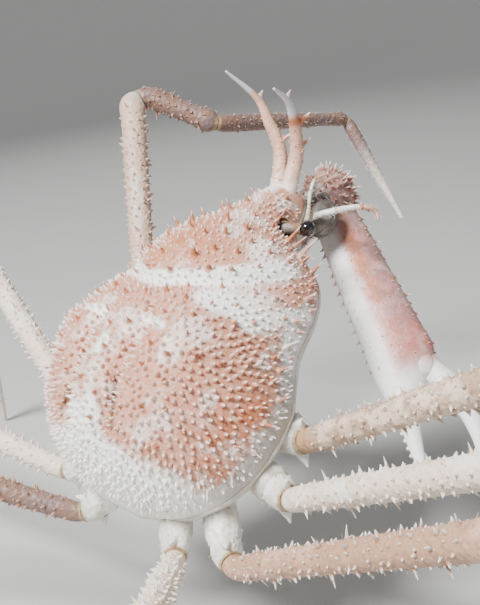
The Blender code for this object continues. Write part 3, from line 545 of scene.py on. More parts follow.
class Tube:
    """Rings of a long form: centres, directions, radii and the place of each along it"""

    def __init__(self, centres, widths, heights, side, ends=None, tangents=None):
        self.centres = np.array(centres, float)
        self.widths = np.broadcast_to(np.asarray(widths, float), len(self.centres)).copy()
        self.heights = np.broadcast_to(np.asarray(heights, float), len(self.centres)).copy()
        steps = np.gradient(self.centres, axis=0) if tangents is None else tangents
        self.tangents = steps / np.linalg.norm(steps, axis=1, keepdims=True)
        if ends is not None:
            self.tangents[0], self.tangents[-1] = ends
        self.sides = np.zeros_like(self.centres)
        for i, tangent in enumerate(self.tangents):
            side = unit(side - tangent * np.dot(side, tangent))
            self.sides[i] = side
        self.tops = np.cross(self.tangents, self.sides)
        lengths = np.linalg.norm(np.diff(self.centres, axis=0), axis=1)
        self.length = lengths.sum()
        self.places = np.concatenate([[0], np.cumsum(lengths)]) / self.length

    def point(self, place, turn):
        """Point on the surface, outward direction and tangent at a place and turn"""
        parts = []
        for column in (self.centres, self.sides, self.tops, self.tangents):
            parts.append(np.array([np.interp(place, self.places, column[:, k]) for k in range(3)]))
        centre, side, top, tangent = parts
        width = np.interp(place, self.places, self.widths)
        height = np.interp(place, self.places, self.heights)
        spoke = side * math.cos(turn) * width + top * math.sin(turn) * height
        outward = unit(side * math.cos(turn) / width + top * math.sin(turn) / height)
        return centre + spoke, outward, unit(tangent)


# Shared modelling


def deselect():
    for item in bpy.context.selected_objects:
        item.select_set(False)


def select_only(item):
    deselect()
    item.select_set(True)
    bpy.context.view_layer.objects.active = item


def add_ball(name, segments, rings):
    """A ball from the add menu, with each vertex's ring and segment number"""
    deselect()
    bpy.ops.mesh.primitive_uv_sphere_add(segments=segments, ring_count=rings, radius=1)
    ball = bpy.context.active_object
    ball.name = name
    ball.data.name = name
    places = read_points(ball)
    ring = np.rint(np.arccos(np.clip(places[:, 2], -1, 1)) / math.pi * rings).astype(int)
    segment = np.rint(np.arctan2(places[:, 1], places[:, 0]) / (2 * math.pi) * segments).astype(int)
    return ball, rings - ring, segment % segments


def read_points(item):
    places = np.empty(len(item.data.vertices) * 3)
    item.data.vertices.foreach_get("co", places)
    return places.reshape(-1, 3)


def set_points(item, points):
    item.data.vertices.foreach_set("co", np.asarray(points, np.float32).ravel())
    item.data.update()


def set_attribute(item, name, values):
    """Store one number or one colour for each vertex"""
    values = np.asarray(values, np.float32)
    kind = "FLOAT" if values.ndim == 1 else "FLOAT_COLOR"
    layer = item.data.attributes.get(name) or item.data.attributes.new(name, kind, "POINT")
    layer.data.foreach_set("value" if values.ndim == 1 else "color", values.ravel())


def read_attribute(item, name):
    values = np.empty(len(item.data.vertices), np.float32)
    item.data.attributes[name].data.foreach_get("value", values)
    return values


def set_zone(item, stripe, pink, grey):
    """Give a whole piece of a claw arm one share of its stripe, of its pink and of its grey"""
    set_attribute(item, "zone", np.tile([stripe, pink, grey, 1.0], (len(item.data.vertices), 1)))


def shape_tube(name, tube, segments, flat_ends=True):
    """A ball pulled out along a tube's rings, its two poles closing the ends"""
    count = len(tube.centres)
    ball, ring, segment = add_ball(name, segments, count + 1)
    turns = 2 * math.pi * segment / segments
    index = np.clip(ring - 1, 0, count - 1)
    spread = np.where((ring >= 1) & (ring <= count), 1.0, 0.0)[:, None]
    points = tube.centres[index] + spread * (
        tube.sides[index] * (np.cos(turns) * tube.widths[index])[:, None]
        + tube.tops[index] * (np.sin(turns) * tube.heights[index])[:, None]
    )
    if not flat_ends:
        points[ring == 0] -= tube.tangents[0] * tube.heights[0] * 0.5
        points[ring == count + 1] += tube.tangents[-1] * tube.heights[-1] * 0.5
    set_points(ball, points)
    set_attribute(ball, "along", tube.places[index])
    return ball


def outward_faces(item):
    """Turn all faces outwards"""
    select_only(item)
    bpy.ops.object.mode_set(mode="EDIT")
    bpy.ops.mesh.select_all(action="SELECT")
    bpy.ops.mesh.normals_make_consistent(inside=False)
    bpy.ops.object.mode_set(mode="OBJECT")


def cut_level(item, point, normal):
    """Cut a piece at a plane, drop what lies beyond it and close the cut"""
    select_only(item)
    bpy.ops.object.mode_set(mode="EDIT")
    bpy.ops.mesh.select_all(action="SELECT")
    bpy.ops.mesh.bisect(plane_co=point, plane_no=normal, use_fill=True, clear_outer=True)
    bpy.ops.object.mode_set(mode="OBJECT")


def hollow_out(item, centre, radius):
    """Take a ball-shaped hollow out of a piece"""
    ball, _, _ = add_ball("hollow", 32, 20)
    set_points(ball, to_world((read_points(ball) * radius + centre) * MM))
    select_only(item)
    modifier = item.modifiers.new("hollow", "BOOLEAN")
    modifier.operation = "DIFFERENCE"
    modifier.solver = "EXACT"
    modifier.object = ball
    bpy.ops.object.modifier_apply(modifier=modifier.name)
    bpy.data.objects.remove(ball, do_unlink=True)


def spine_model(sides, profile=FLARED, bend=0.1):
    """Points, faces, heights and sideways shift of one tapered spine of unit size"""
    deselect()
    shares, widths = np.array(profile).T
    size = {"radius1": 1, "radius2": widths[-1], "depth": 1}
    bpy.ops.mesh.primitive_cone_add(vertices=sides, location=(0, 0, 0.5), **size)
    cone = bpy.context.active_object
    bpy.ops.object.transform_apply(location=True, rotation=True, scale=True)
    bpy.ops.object.mode_set(mode="EDIT")
    for level in shares[1:-1]:
        bpy.ops.mesh.select_all(action="SELECT")
        bpy.ops.mesh.bisect(plane_co=(0, 0, level), plane_no=(0, 0, 1))
    bpy.ops.object.mode_set(mode="OBJECT")
    points = read_points(cone)
    heights = np.clip(points[:, 2], 0, 1)
    straight = 1 + (widths[-1] - 1) * heights
    points[:, :2] *= (np.interp(heights, shares, widths) / straight)[:, None]
    faces = [tuple(face.vertices) for face in cone.data.polygons]
    bpy.data.objects.remove(cone, do_unlink=True)
    return points, faces, heights, bend * heights**2


def stamp(
    name, model, roots, directions, lengths, radii, seed, zones=None, tones=(0, 1), chart=None, along=None
):
    """One mesh of many copies of a model, each set on its root along its direction"""
    points, faces, heights, shift = model
    rng = np.random.default_rng(seed)
    roots, directions, lengths = np.array(roots), np.array(directions), np.array(lengths)
    count, size = len(roots), len(points)
    directions = directions / np.linalg.norm(directions, axis=1, keepdims=True)
    side = np.cross(directions, rng.normal(size=(count, 3)))
    side /= np.linalg.norm(side, axis=1, keepdims=True)
    other = np.cross(directions, side)
    scaled = points[None, :, :] * np.stack([radii, radii, lengths], axis=-1)[:, None, :]
    scaled[:, :, 0] += shift[None, :] * lengths[:, None]
    places = (
        roots[:, None, :]
        + side[:, None, :] * scaled[:, :, 0:1]
        + other[:, None, :] * scaled[:, :, 1:2]
        + directions[:, None, :] * scaled[:, :, 2:3]
    )
    all_faces = [tuple(i * size + k for k in face) for i in range(count) for face in faces]
    mesh = bpy.data.meshes.new(name)
    mesh.from_pydata(places.reshape(-1, 3).tolist(), [], all_faces)
    item = bpy.data.objects.new(name, mesh)
    bpy.context.scene.collection.objects.link(item)
    set_attribute(item, "rise", np.tile(np.maximum(heights, 0.01), count))
    drawn = rng.uniform(*tones, count) if len(tones) == 2 else tones
    set_attribute(item, "tone", np.repeat(drawn, size))
    if along is not None:
        set_attribute(item, "along", np.repeat(along, size))
    if zones is not None:
        set_attribute(item, "zone", np.repeat(zones, size, axis=0))
    if chart is not None:
        patch = np.column_stack([points[:, 0] / 2, heights - 0.5]) * CHART_PATCH
        spots = (np.array(chart)[:, None, :] + patch[None, :, :]).reshape(-1, 2)
        corners = np.empty(len(mesh.loops), np.int32)
        mesh.loops.foreach_get("vertex_index", corners)
        layer = mesh.uv_layers.new(name="OFBake")
        layer.data.foreach_set("uv", spots[corners].astype(np.float32).ravel())
    return item


def join(body, others):
    """Join pieces into the first one"""
    select_only(body)
    for other in others:
        other.select_set(True)
    bpy.ops.object.join()
    return body


def give_material(item, name):
    item.data.materials.clear()
    item.data.materials.append(materials()[name])


def finish_piece(item, nodes=(), angle=45):
    """Smooth a finished piece, hold it inside the solids' box and tie it to the frame"""
    set_points(item, np.clip(read_points(item), *np.array(CAD_BOX)))
    select_only(item)
    bpy.ops.object.shade_smooth_by_angle(angle=math.radians(angle))
    if nodes:
        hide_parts(*nodes)
    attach(item, BODY)
    deselect()


def finish_parts(body, parts, material, nodes=()):
    """Give a body and its parts one material, join them and finish the piece"""
    for piece in (body, *parts):
        give_material(piece, material)
    if parts:
        join(body, parts)
    finish_piece(body, nodes)


def spread_over(count, tries, spacing, draw):
    """Places drawn at random that keep a distance from one another"""
    kept, places = [], np.empty((count, 3))
    for _ in range(tries):
        if len(kept) == count:
            break
        choice, point = draw()
        taken = places[: len(kept)]
        if choice is None or len(kept) and np.min(np.sum((taken - point) ** 2, axis=1)) < spacing**2:
            continue
        places[len(kept)] = point
        kept.append(choice)
    return kept


def tube_along(points, radii, count, side):
    """A tube on a smooth curve through points in trunk axes, in millimetres"""
    world = np.array([from_trunk(*point) for point in points])
    shares = np.linspace(0, 1, count)
    widths = smooth_value(np.column_stack([np.linspace(0, 1, len(points)), radii]), shares, 1)
    widths = np.maximum(widths, min(radii)) * MM
    return Tube(smooth_curve(world, shares), widths, widths, np.array(side, float))


def mirrored(points, sign):
    return [(x, y * sign, z) for x, y, z in points]


def grow_on_tube(name, model, tube, picks, seed, warm=0.0, tones=(0, 1), chart_row=None):
    """Copies of a spine on a tube at picks of (place, turn, length, radius, lean)"""
    roots, directions = [], []
    for place, turn, _, radius, lean in picks:
        root, outward, tangent = tube.point(place, turn)
        roots.append(root - outward * ROOT_SINK * radius * MM)
        directions.append(outward + tangent * lean)
    sizes = np.array([(length, radius) for _, _, length, radius, _ in picks]) * MM
    zones = np.tile([0, warm, 0, 1.0], (len(roots), 1))
    chart = None
    if chart_row is not None:
        low, high = chart_row
        chart = [(place, low + (high - low) * (turn / (2 * math.pi) % 1)) for place, turn, _, _, _ in picks]
    along = [place for place, _, _, _, _ in picks]
    return stamp(name, model, roots, directions, sizes[:, 0], sizes[:, 1], seed, zones, tones, chart, along)


def grow_hairs(name, model, tube, rng, coat, seed, chart_row=(0, 1)):
    """A coat of hairs at random on a tube, each with its patch of the coat's map"""
    count, span, lengths = HAIR_COATS[coat]
    picks = []
    for _ in range(count):
        turn = rng.uniform(0, 2 * math.pi)
        place, length = rng.uniform(*span), rng.uniform(*lengths)
        picks.append((place, turn, length, THIN_HAIR, HAIR_LEAN * rng.uniform(0.6, 1.2)))
    return grow_on_tube(name, model, tube, picks, seed, chart_row=chart_row)


# Materials


class Look:
    """A procedural material in the making, with short forms for its nodes"""

    def __init__(self, name):
        self.material = bpy.data.materials.new(name)
        self.material.use_nodes = True
        self.tree = self.material.node_tree
        self.shader = self.tree.nodes["Principled BSDF"]

    def link(self, output, socket):
        self.tree.links.new(output, socket)

    def node(self, kind, **settings):
        """A new node with the given inputs and settings"""
        node = self.tree.nodes.new(kind)
        for key, value in settings.items():
            if key in node.inputs:
                node.inputs[key].default_value = value
            else:
                setattr(node, key, value)
        return node

    def texture(self, kind, output, **settings):
        """A texture on the piece's own coordinates"""
        coordinates = self.node("ShaderNodeTexCoord")
        texture = self.node(kind, **settings)
        self.link(coordinates.outputs["Object"], texture.inputs["Vector"])
        return texture.outputs[output]

    def noise(self, scale, detail=4.0):
        return self.texture("ShaderNodeTexNoise", "Fac", Scale=scale, Detail=detail, Roughness=0.6)

    def cells(self, scale):
        return self.texture("ShaderNodeTexVoronoi", "Distance", Scale=scale)

    def stored(self, name):
        """A number that the mesh stores"""
        return self.node("ShaderNodeAttribute", attribute_name=name).outputs["Fac"]

    def zone_shares(self):
        """The four shares of the mesh's zone"""
        zone = self.node("ShaderNodeAttribute", attribute_name="zone")
        split = self.node("ShaderNodeSeparateColor")
        self.link(zone.outputs["Color"], split.inputs[0])
        return split.outputs[0], split.outputs[1], split.outputs[2], zone.outputs["Alpha"]

    def stretch(self, value, low, high):
        """Spread a value between two limits over 0 to 1"""
        limits = {"From Min": low, "From Max": high}
        node = self.node("ShaderNodeMapRange", interpolation_type="SMOOTHSTEP", **limits)
        self.link(value, node.inputs["Value"])
        return node.outputs["Result"]

    def spots(self, scale, detail, low, high):
        """Soft spots of a noise"""
        return self.stretch(self.noise(scale, detail), low, high)

    def calculate(self, operation, first, second):
        """Two sockets or numbers put together and held between 0 and 1"""
        node = self.node("ShaderNodeMath", operation=operation, use_clamp=True)
        for socket, value in zip(node.inputs, (first, second)):
            if isinstance(value, (int, float)):
                socket.default_value = value
            else:
                self.link(value, socket)
        return node.outputs[0]

    def times(self, first, second):
        return self.calculate("MULTIPLY", first, second)

    def plus(self, first, second):
        return self.calculate("ADD", first, second)

    def less(self, first, second):
        return self.calculate("SUBTRACT", first, second)

    def ragged(self, share, grain, low, high):
        """A stored share whose blurred border is broken up by a noise"""
        return self.stretch(self.plus(self.times(share, 0.7), self.times(grain, 0.4)), low, high)

    def blend(self, factor, first, second):
        """Mix two colours, each a socket or a colour, by a factor"""
        node = self.node("ShaderNodeMix", data_type="RGBA")
        self.link(factor, node.inputs["Factor"])
        for socket, value in zip((node.inputs[6], node.inputs[7]), (first, second)):
            if isinstance(value, bpy.types.NodeSocket):
                self.link(value, socket)
            else:
                socket.default_value = (*value, 1)
        return node.outputs[2]

    def colour_spines(self, ground, slope, tip, weak=0.3, tip_start=0.45):
        """Spines that turn browner up the slope, strongly so with a high tone, and paler at the tip"""
        rise, tone = self.stored("rise"), self.stored("tone")
        strength = self.plus(self.times(tone, 1 - weak), weak)
        colour = self.blend(self.times(strength, self.stretch(rise, 0.0, 0.16)), ground, slope)
        return self.blend(self.stretch(rise, tip_start, 0.95), colour, tip)

    def bump(self, height, strength, distance, before=None):
        """Relief of the surface, on top of an earlier one"""
        node = self.node("ShaderNodeBump", Strength=strength, Distance=distance)
        self.link(height, node.inputs["Height"])
        if before is not None:
            self.link(before, node.inputs["Normal"])
        self.link(node.outputs["Normal"], self.shader.inputs["Normal"])
        return node.outputs["Normal"]

    def finish(self, colour, low, high):
        """Set the colour, and an uneven gloss between two roughnesses"""
        self.link(colour, self.shader.inputs["Base Color"])
        rough = self.node("ShaderNodeMapRange", **{"To Min": low, "To Max": high})
        self.link(self.noise(GLOSS_SCALE), rough.inputs["Value"])
        self.link(rough.outputs["Result"], self.shader.inputs["Roughness"])


def shell_material(colours):
    """Pink shell with white bands, brown painted shade in its grooves and eye hollows, a bent edge greyed as
    painted shade, mottling and fine grain
    """
    look = Look("crab_shell")
    white, warm, shade_and_dirt, level = look.zone_shares()
    rise, tone = look.stored("rise"), look.stored("tone")
    mottle = look.plus(look.spots(160, 6, 0.40, 0.60), look.spots(40, 4, 0.38, 0.62))
    skin = look.blend(look.times(warm, look.times(mottle, 0.8)), colours.shell, colours.warm)
    skin = look.blend(look.times(look.spots(90, 6, 0.50, 0.62), 0.6), skin, colours.white)
    stains = look.times(look.spots(420, 5, 0.42, 0.60), look.plus(look.times(warm, 0.6), 0.12))
    valley = look.blend(stains, skin, colours.spine_brown)
    colour = look.blend(look.stretch(rise, 0.0, 0.3), valley, skin)
    colour = look.blend(look.ragged(white, look.noise(200, 6), 0.38, 0.66), colour, colours.white)
    # Painted shade: the bent edge of the shell is greyed
    colour = look.blend(look.less(1.0, level), colour, colours.skirt)
    # Painted shade: brown darkening in the grooves, creases and eye hollows
    colour = look.blend(look.ragged(shade_and_dirt, look.noise(260, 5), 0.36, 0.70), colour, colours.shade_and_dirt)
    large = look.stretch(tone, 0.42, 0.75)
    brown = look.times(large, look.stretch(rise, 0.04, 0.3))
    colour = look.blend(look.times(brown, 0.85), colour, colours.spine_brown)
    tip = look.less(look.stretch(rise, 0.35, 0.9), look.times(large, 0.45))
    look.finish(look.blend(tip, colour, colours.cone_tip), 0.34, 0.62)
    grain = look.bump(look.cells(800), 0.5, 0.4 * MM)
    look.bump(look.noise(1500, 5), 0.4, 0.3 * MM, grain)
    return look.material


def limb_material(name, colours, ground, mottle_colour, amount, ring_colour=None, tip=None, fade=None):
    """Chalky limb with mottling, dark specks that are partly brown dots and partly painted shade of spine
    roots, a ringed start, pale joints and pale spines
    """
    look = Look(name)
    along, joint = look.stored("along"), look.stored("joint")
    patches = look.spots(150, 6, 0.42, 0.60)
    mottle = look.times(look.plus(patches, look.spots(38, 3, 0.42, 0.62)), amount)
    if fade is not None:
        ground = look.blend(look.stretch(along, 0.15, 0.75), fade, ground)
    colour = look.blend(mottle, ground, mottle_colour)
    colour = look.blend(look.times(look.spots(600, 4, 0.52, 0.66), 0.35), colour, mottle_colour)
    # Dark specks set at random: partly brown dots, partly painted shade standing for the shadows at spine
    # roots
    specks_and_root_shade = look.less(1.0, look.stretch(look.cells(260), 0.05, 0.13))
    colour = look.blend(look.times(specks_and_root_shade, 0.55), colour, colours.shade_and_dirt)
    if ring_colour is not None:
        start = look.stretch(look.plus(along, look.times(patches, 0.06)), 0.06, 0.12)
        colour = look.blend(look.times(look.less(1.0, start), 0.75), colour, ring_colour)
    colour = look.blend(look.stretch(joint, 0.3, 0.9), colour, colours.membrane)
    look.finish(look.colour_spines(colour, mottle_colour, tip or colours.leg_pale, 0.0, 0.2), 0.34, 0.6)
    grain = look.bump(look.cells(520), 0.6, 0.6 * MM)
    look.bump(look.noise(1700, 4), 0.4, 0.3 * MM, grain)
    return look.material


def claw_material(colours):
    """Claw with a pink upper side, an orange stripe and a smooth white lower edge"""
    look = Look("crab_claw")
    stripe, pink, rough, _ = look.zone_shares()
    patches = look.spots(110, 6, 0.36, 0.64)
    soft = look.times(pink, look.plus(look.times(patches, 0.4), 0.75))
    colour = look.blend(soft, colours.claw_white, colours.claw_pink)
    colour = look.blend(look.times(stripe, look.plus(patches, 0.5)), colour, colours.warm)
    colour = look.blend(look.times(rough, look.spots(200, 6, 0.36, 0.56)), colour, colours.leg_mauve)
    dark = look.times(look.spots(330, 6, 0.50, 0.66), look.times(rough, 0.6))
    colour = look.blend(dark, colour, colours.shade_and_dirt)
    look.finish(look.colour_spines(colour, colours.spine_brown, colours.cone_tip, 0.3, 0.35), 0.24, 0.46)
    grain = look.bump(look.noise(420, 5), 0.5, 0.7 * MM)
    look.bump(look.noise(1300, 4), 0.4, 0.3 * MM, grain)
    return look.material


def horn_material(colours):
    """Horn that pales from pink to white grey past its fork, one with an orange ring below it"""
    look = Look("crab_horn")
    white, ring, _, _ = look.zone_shares()
    colour = look.blend(look.stretch(look.stored("along"), 0.05, 0.36), colours.cone_tip, colours.horn)
    colour = look.blend(white, colour, colours.horn_tip)
    colour = look.blend(ring, colour, colours.spine_brown)
    colour = look.blend(look.times(look.spots(420, 5, 0.46, 0.62), 0.4), colour, colours.warm)
    colour = look.blend(white, colour, colours.horn_tip)
    look.finish(look.colour_spines(colour, colours.warm, colours.cone_tip, 0.2, 0.6), 0.3, 0.52)
    look.bump(look.noise(1400, 5), 0.35, 0.3 * MM)
    return look.material


def plain_material(name, first, second, scale, low, high, bump=0.3):
    """Two mottled colours with uneven gloss and fine bump"""
    look = Look(name)
    look.finish(look.blend(look.spots(scale, 6, 0.35, 0.68), first, second), low, high)
    look.bump(look.noise(scale * 5, 4), bump, 0.3 * MM)
    return look.material


def feeler_material(name, colours, ground):
    """Feeler with brown joint lines and an orange end"""
    look = Look(name)
    colour = look.blend(look.spots(320, 5, 0.38, 0.62), ground, colours.white)
    end = look.times(look.stretch(look.stored("along"), 0.68, 0.8), 0.7)
    colour = look.blend(end, colour, colours.warm)
    look.finish(look.blend(look.stored("joint"), colour, colours.spine_brown), 0.3, 0.5)
    look.bump(look.noise(1400, 4), 0.3, 0.2 * MM)
    return look.material


def eye_material():
    """Glossy black cornea"""
    look = Look("crab_eye")
    settings = {"Roughness": 0.06, "Coat Weight": 1.0, "Coat Roughness": 0.03}
    for socket, value in settings.items():
        look.shader.inputs[socket].default_value = value
    colour = look.blend(look.spots(700, 4, 0.4, 0.7), EYE_BLACK, EYE_BROWN)
    look.link(colour, look.shader.inputs["Base Color"])
    return look.material


MATERIALS = {}


def materials():
    """Make every material once and keep it by name"""
    if not MATERIALS:
        c = bpy.context.scene.crab_colours
        MATERIALS.update(
            shell=shell_material(c),
            leg=limb_material("crab_leg", c, c.leg, c.leg_brown, 0.6, c.leg_ring),
            leg_pale=limb_material("crab_leg_pale", c, c.leg_pale, c.leg, 0.75),
            leg_pink=limb_material("crab_leg_pink", c, c.leg_pink, c.leg_brown, 0.4),
            leg_mauve=limb_material("crab_leg_mauve", c, c.leg_mauve, c.leg_brown, 0.4, tip=c.leg_pink),
            leg_raised=limb_material("crab_leg_raised", c, c.belly, c.leg_pink, 0.7, tip=c.leg_pink),
            leg_tip=limb_material("crab_leg_tip", c, c.leg_pale, c.leg_brown, 0.2, fade=c.leg_mauve),
            base=limb_material("crab_leg_base", c, c.white, c.belly, 0.8),
            claw=claw_material(c),
            horn=horn_material(c),
            eye=eye_material(),
            bristle=plain_material("crab_bristle", c.hair, c.white, 90, 0.45, 0.6, 0.1),
            belly=plain_material("crab_belly", c.belly, c.white, 160, 0.4, 0.65),
            mouth=plain_material("crab_mouth", c.mouth, c.mouth_pale, 220, 0.3, 0.55, 0.6),
            feeler=feeler_material("crab_feeler", c, c.belly),
            antenna=feeler_material("crab_antenna", c, c.feeler),
            stalk=plain_material("crab_eye_stalk", c.mouth_pale, c.leg_brown, 300, 0.35, 0.6, 0.5),
            floor=plain_material("studio_floor", c.floor, c.floor, 6, 0.8, 0.9, 0.02),
        )
    return MATERIALS


# Trunk


def patches(table, along, side):
    """Soft patches at places along the shell and across it"""
    total = 0
    for strength, place, spread, place_across, spread_across in table:
        total = total + strength * bell(along, place, spread) * bell(side, place_across, spread_across)
    return total


def shell_zones(along, across):
    """White and warm shares of the shell at a place, the share of brown painted shade in its grooves and
    creases, and 1 less the share of its bent edge greyed as painted shade
    """
    side = np.abs(across)
    snout = 0.6 * ramp(along, 0.44, 0.012)
    neck_band = 0.85 * bell(along, 0.043 + 0.20 * side**2, 0.026) * ramp(-side, -0.93, 0.02)
    outer_band = bell(along, 0.026 + np.maximum(side - 0.89, 0), 0.017) * bell(side, 0.89, 0.12)
    skirt = 0.6 * ramp(side, 0.985, 0.004) * ramp(-along, -0.08, 0.02)
    white = patches(WHITE_PATCHES, along, side) + neck_band + outer_band + skirt
    white = white + ramp(-along, 0.395, 0.022) + snout * ramp(-side, -0.55, 0.06)
    warm = WARM_GROUND + patches(WARM_PATCHES, along, side) + 0.35 * bell(along, -0.40, 0.03)
    # Painted shade in the gill grooves and along the crease above the bent edge; also darker at the sides of
    # the snout
    groove = GILL_GROOVE_ACROSS + 1.1 * (-0.28 - along)
    shade_and_dirt = 0.95 * bell(side, groove, 0.035) * bell(along, -0.30, 0.075)
    shade_and_dirt = shade_and_dirt + 0.35 * bell(side, 0.967, 0.005) * ramp(-along, -0.12, 0.02)
    shade_and_dirt = shade_and_dirt + 0.4 * snout * ramp(side, 0.88, 0.03)
    # Painted shade: the share of the bent edge that is greyed
    shaded_bent_edge = ramp(side, 0.984, 0.003) * ramp(-along, 0.04, 0.03) * ramp(along, -0.38, 0.02)
    return np.clip(np.stack([white, warm, shade_and_dirt, 1 - 0.85 * shaded_bent_edge], axis=-1), 0, 1)


def trunk_body(name, level, keep_upper):
    """The trunk's ball, shaped by its stations and cut at the shell's edge"""
    segments, rings = TRUNK_GRID
    ball, ring, segment = add_ball(name, segments, rings)
    along = -0.5 * np.cos(math.pi * ring / rings)
    points = trunk_surface(along, 2 * math.pi * segment / segments)
    poles = (ring == 0) | (ring == rings)
    points[poles, 1:] = 0
    set_points(ball, to_world(points))
    normal = TRUNK_MATRIX.to_3x3() @ Vector((0, 0, -1 if keep_upper else 1))
    cut_level(ball, TRUNK_MATRIX @ Vector((0, 0, level)), normal)
    return ball


def colour_trunk(item):
    """Store the shell's zones, with brown painted shade in the hollows of the eyes"""
    points = (read_points(item) - np.array(TRUNK_PLACE)) @ TRUNK_TURN
    along = points[:, 0] / SHELL_LENGTH
    width = smooth_value(TRUNK_STATIONS, along, 1) * SHELL_HALF_WIDTH
    height = smooth_value(TRUNK_STATIONS, along, 2) * SHELL_DOME
    turn = np.arctan2(np.maximum(points[:, 2], 0) / height, points[:, 1] / width)
    zones = shell_zones(along, np.cos(turn))
    # Painted shade: brown fills the hollows of the eyes
    for orbit in ORBITS:
        inside = np.linalg.norm(points / MM - orbit, axis=1) < ORBIT_RADIUS * 1.02
        zones[inside] = (0, 0.3, 1, 1)
    set_attribute(item, "zone", zones)


def grow_on_shell(name, model, spots, lengths, radii, leans, seed, tones, chart=False):
    """Copies of a spine on the shell at (along, turn) places"""
    along, turn = np.array(spots).T
    points, normals = trunk_surface(along, turn), trunk_normals(along, turn)
    directions = normals + np.outer(leans, (1, 0, 0))
    roots = to_world(points - normals * SPINE_SINK)
    places = np.stack([along + 0.5, turn / math.pi], axis=-1) if chart else None
    zones = shell_zones(along, np.cos(turn))
    return stamp(
        name, model, roots, directions @ TRUNK_TURN.T, lengths + SPINE_SINK, radii, seed, zones, tones, places
    )


def shell_spot(rng):
    """A random place on the shell clear of the eyes and the horns"""
    along = rng.uniform(-0.49, 0.485)
    turn = rng.uniform(math.radians(1.5), math.radians(178.5))
    point = trunk_surface(along, turn)
    orbit = ORBITS[0 if point[1] >= 0 else 1] * MM
    if np.linalg.norm(point - orbit) < (ORBIT_RADIUS + 0.8) * MM or point[0] > SNOUT_END:
        return None, point
    return (along, turn), point


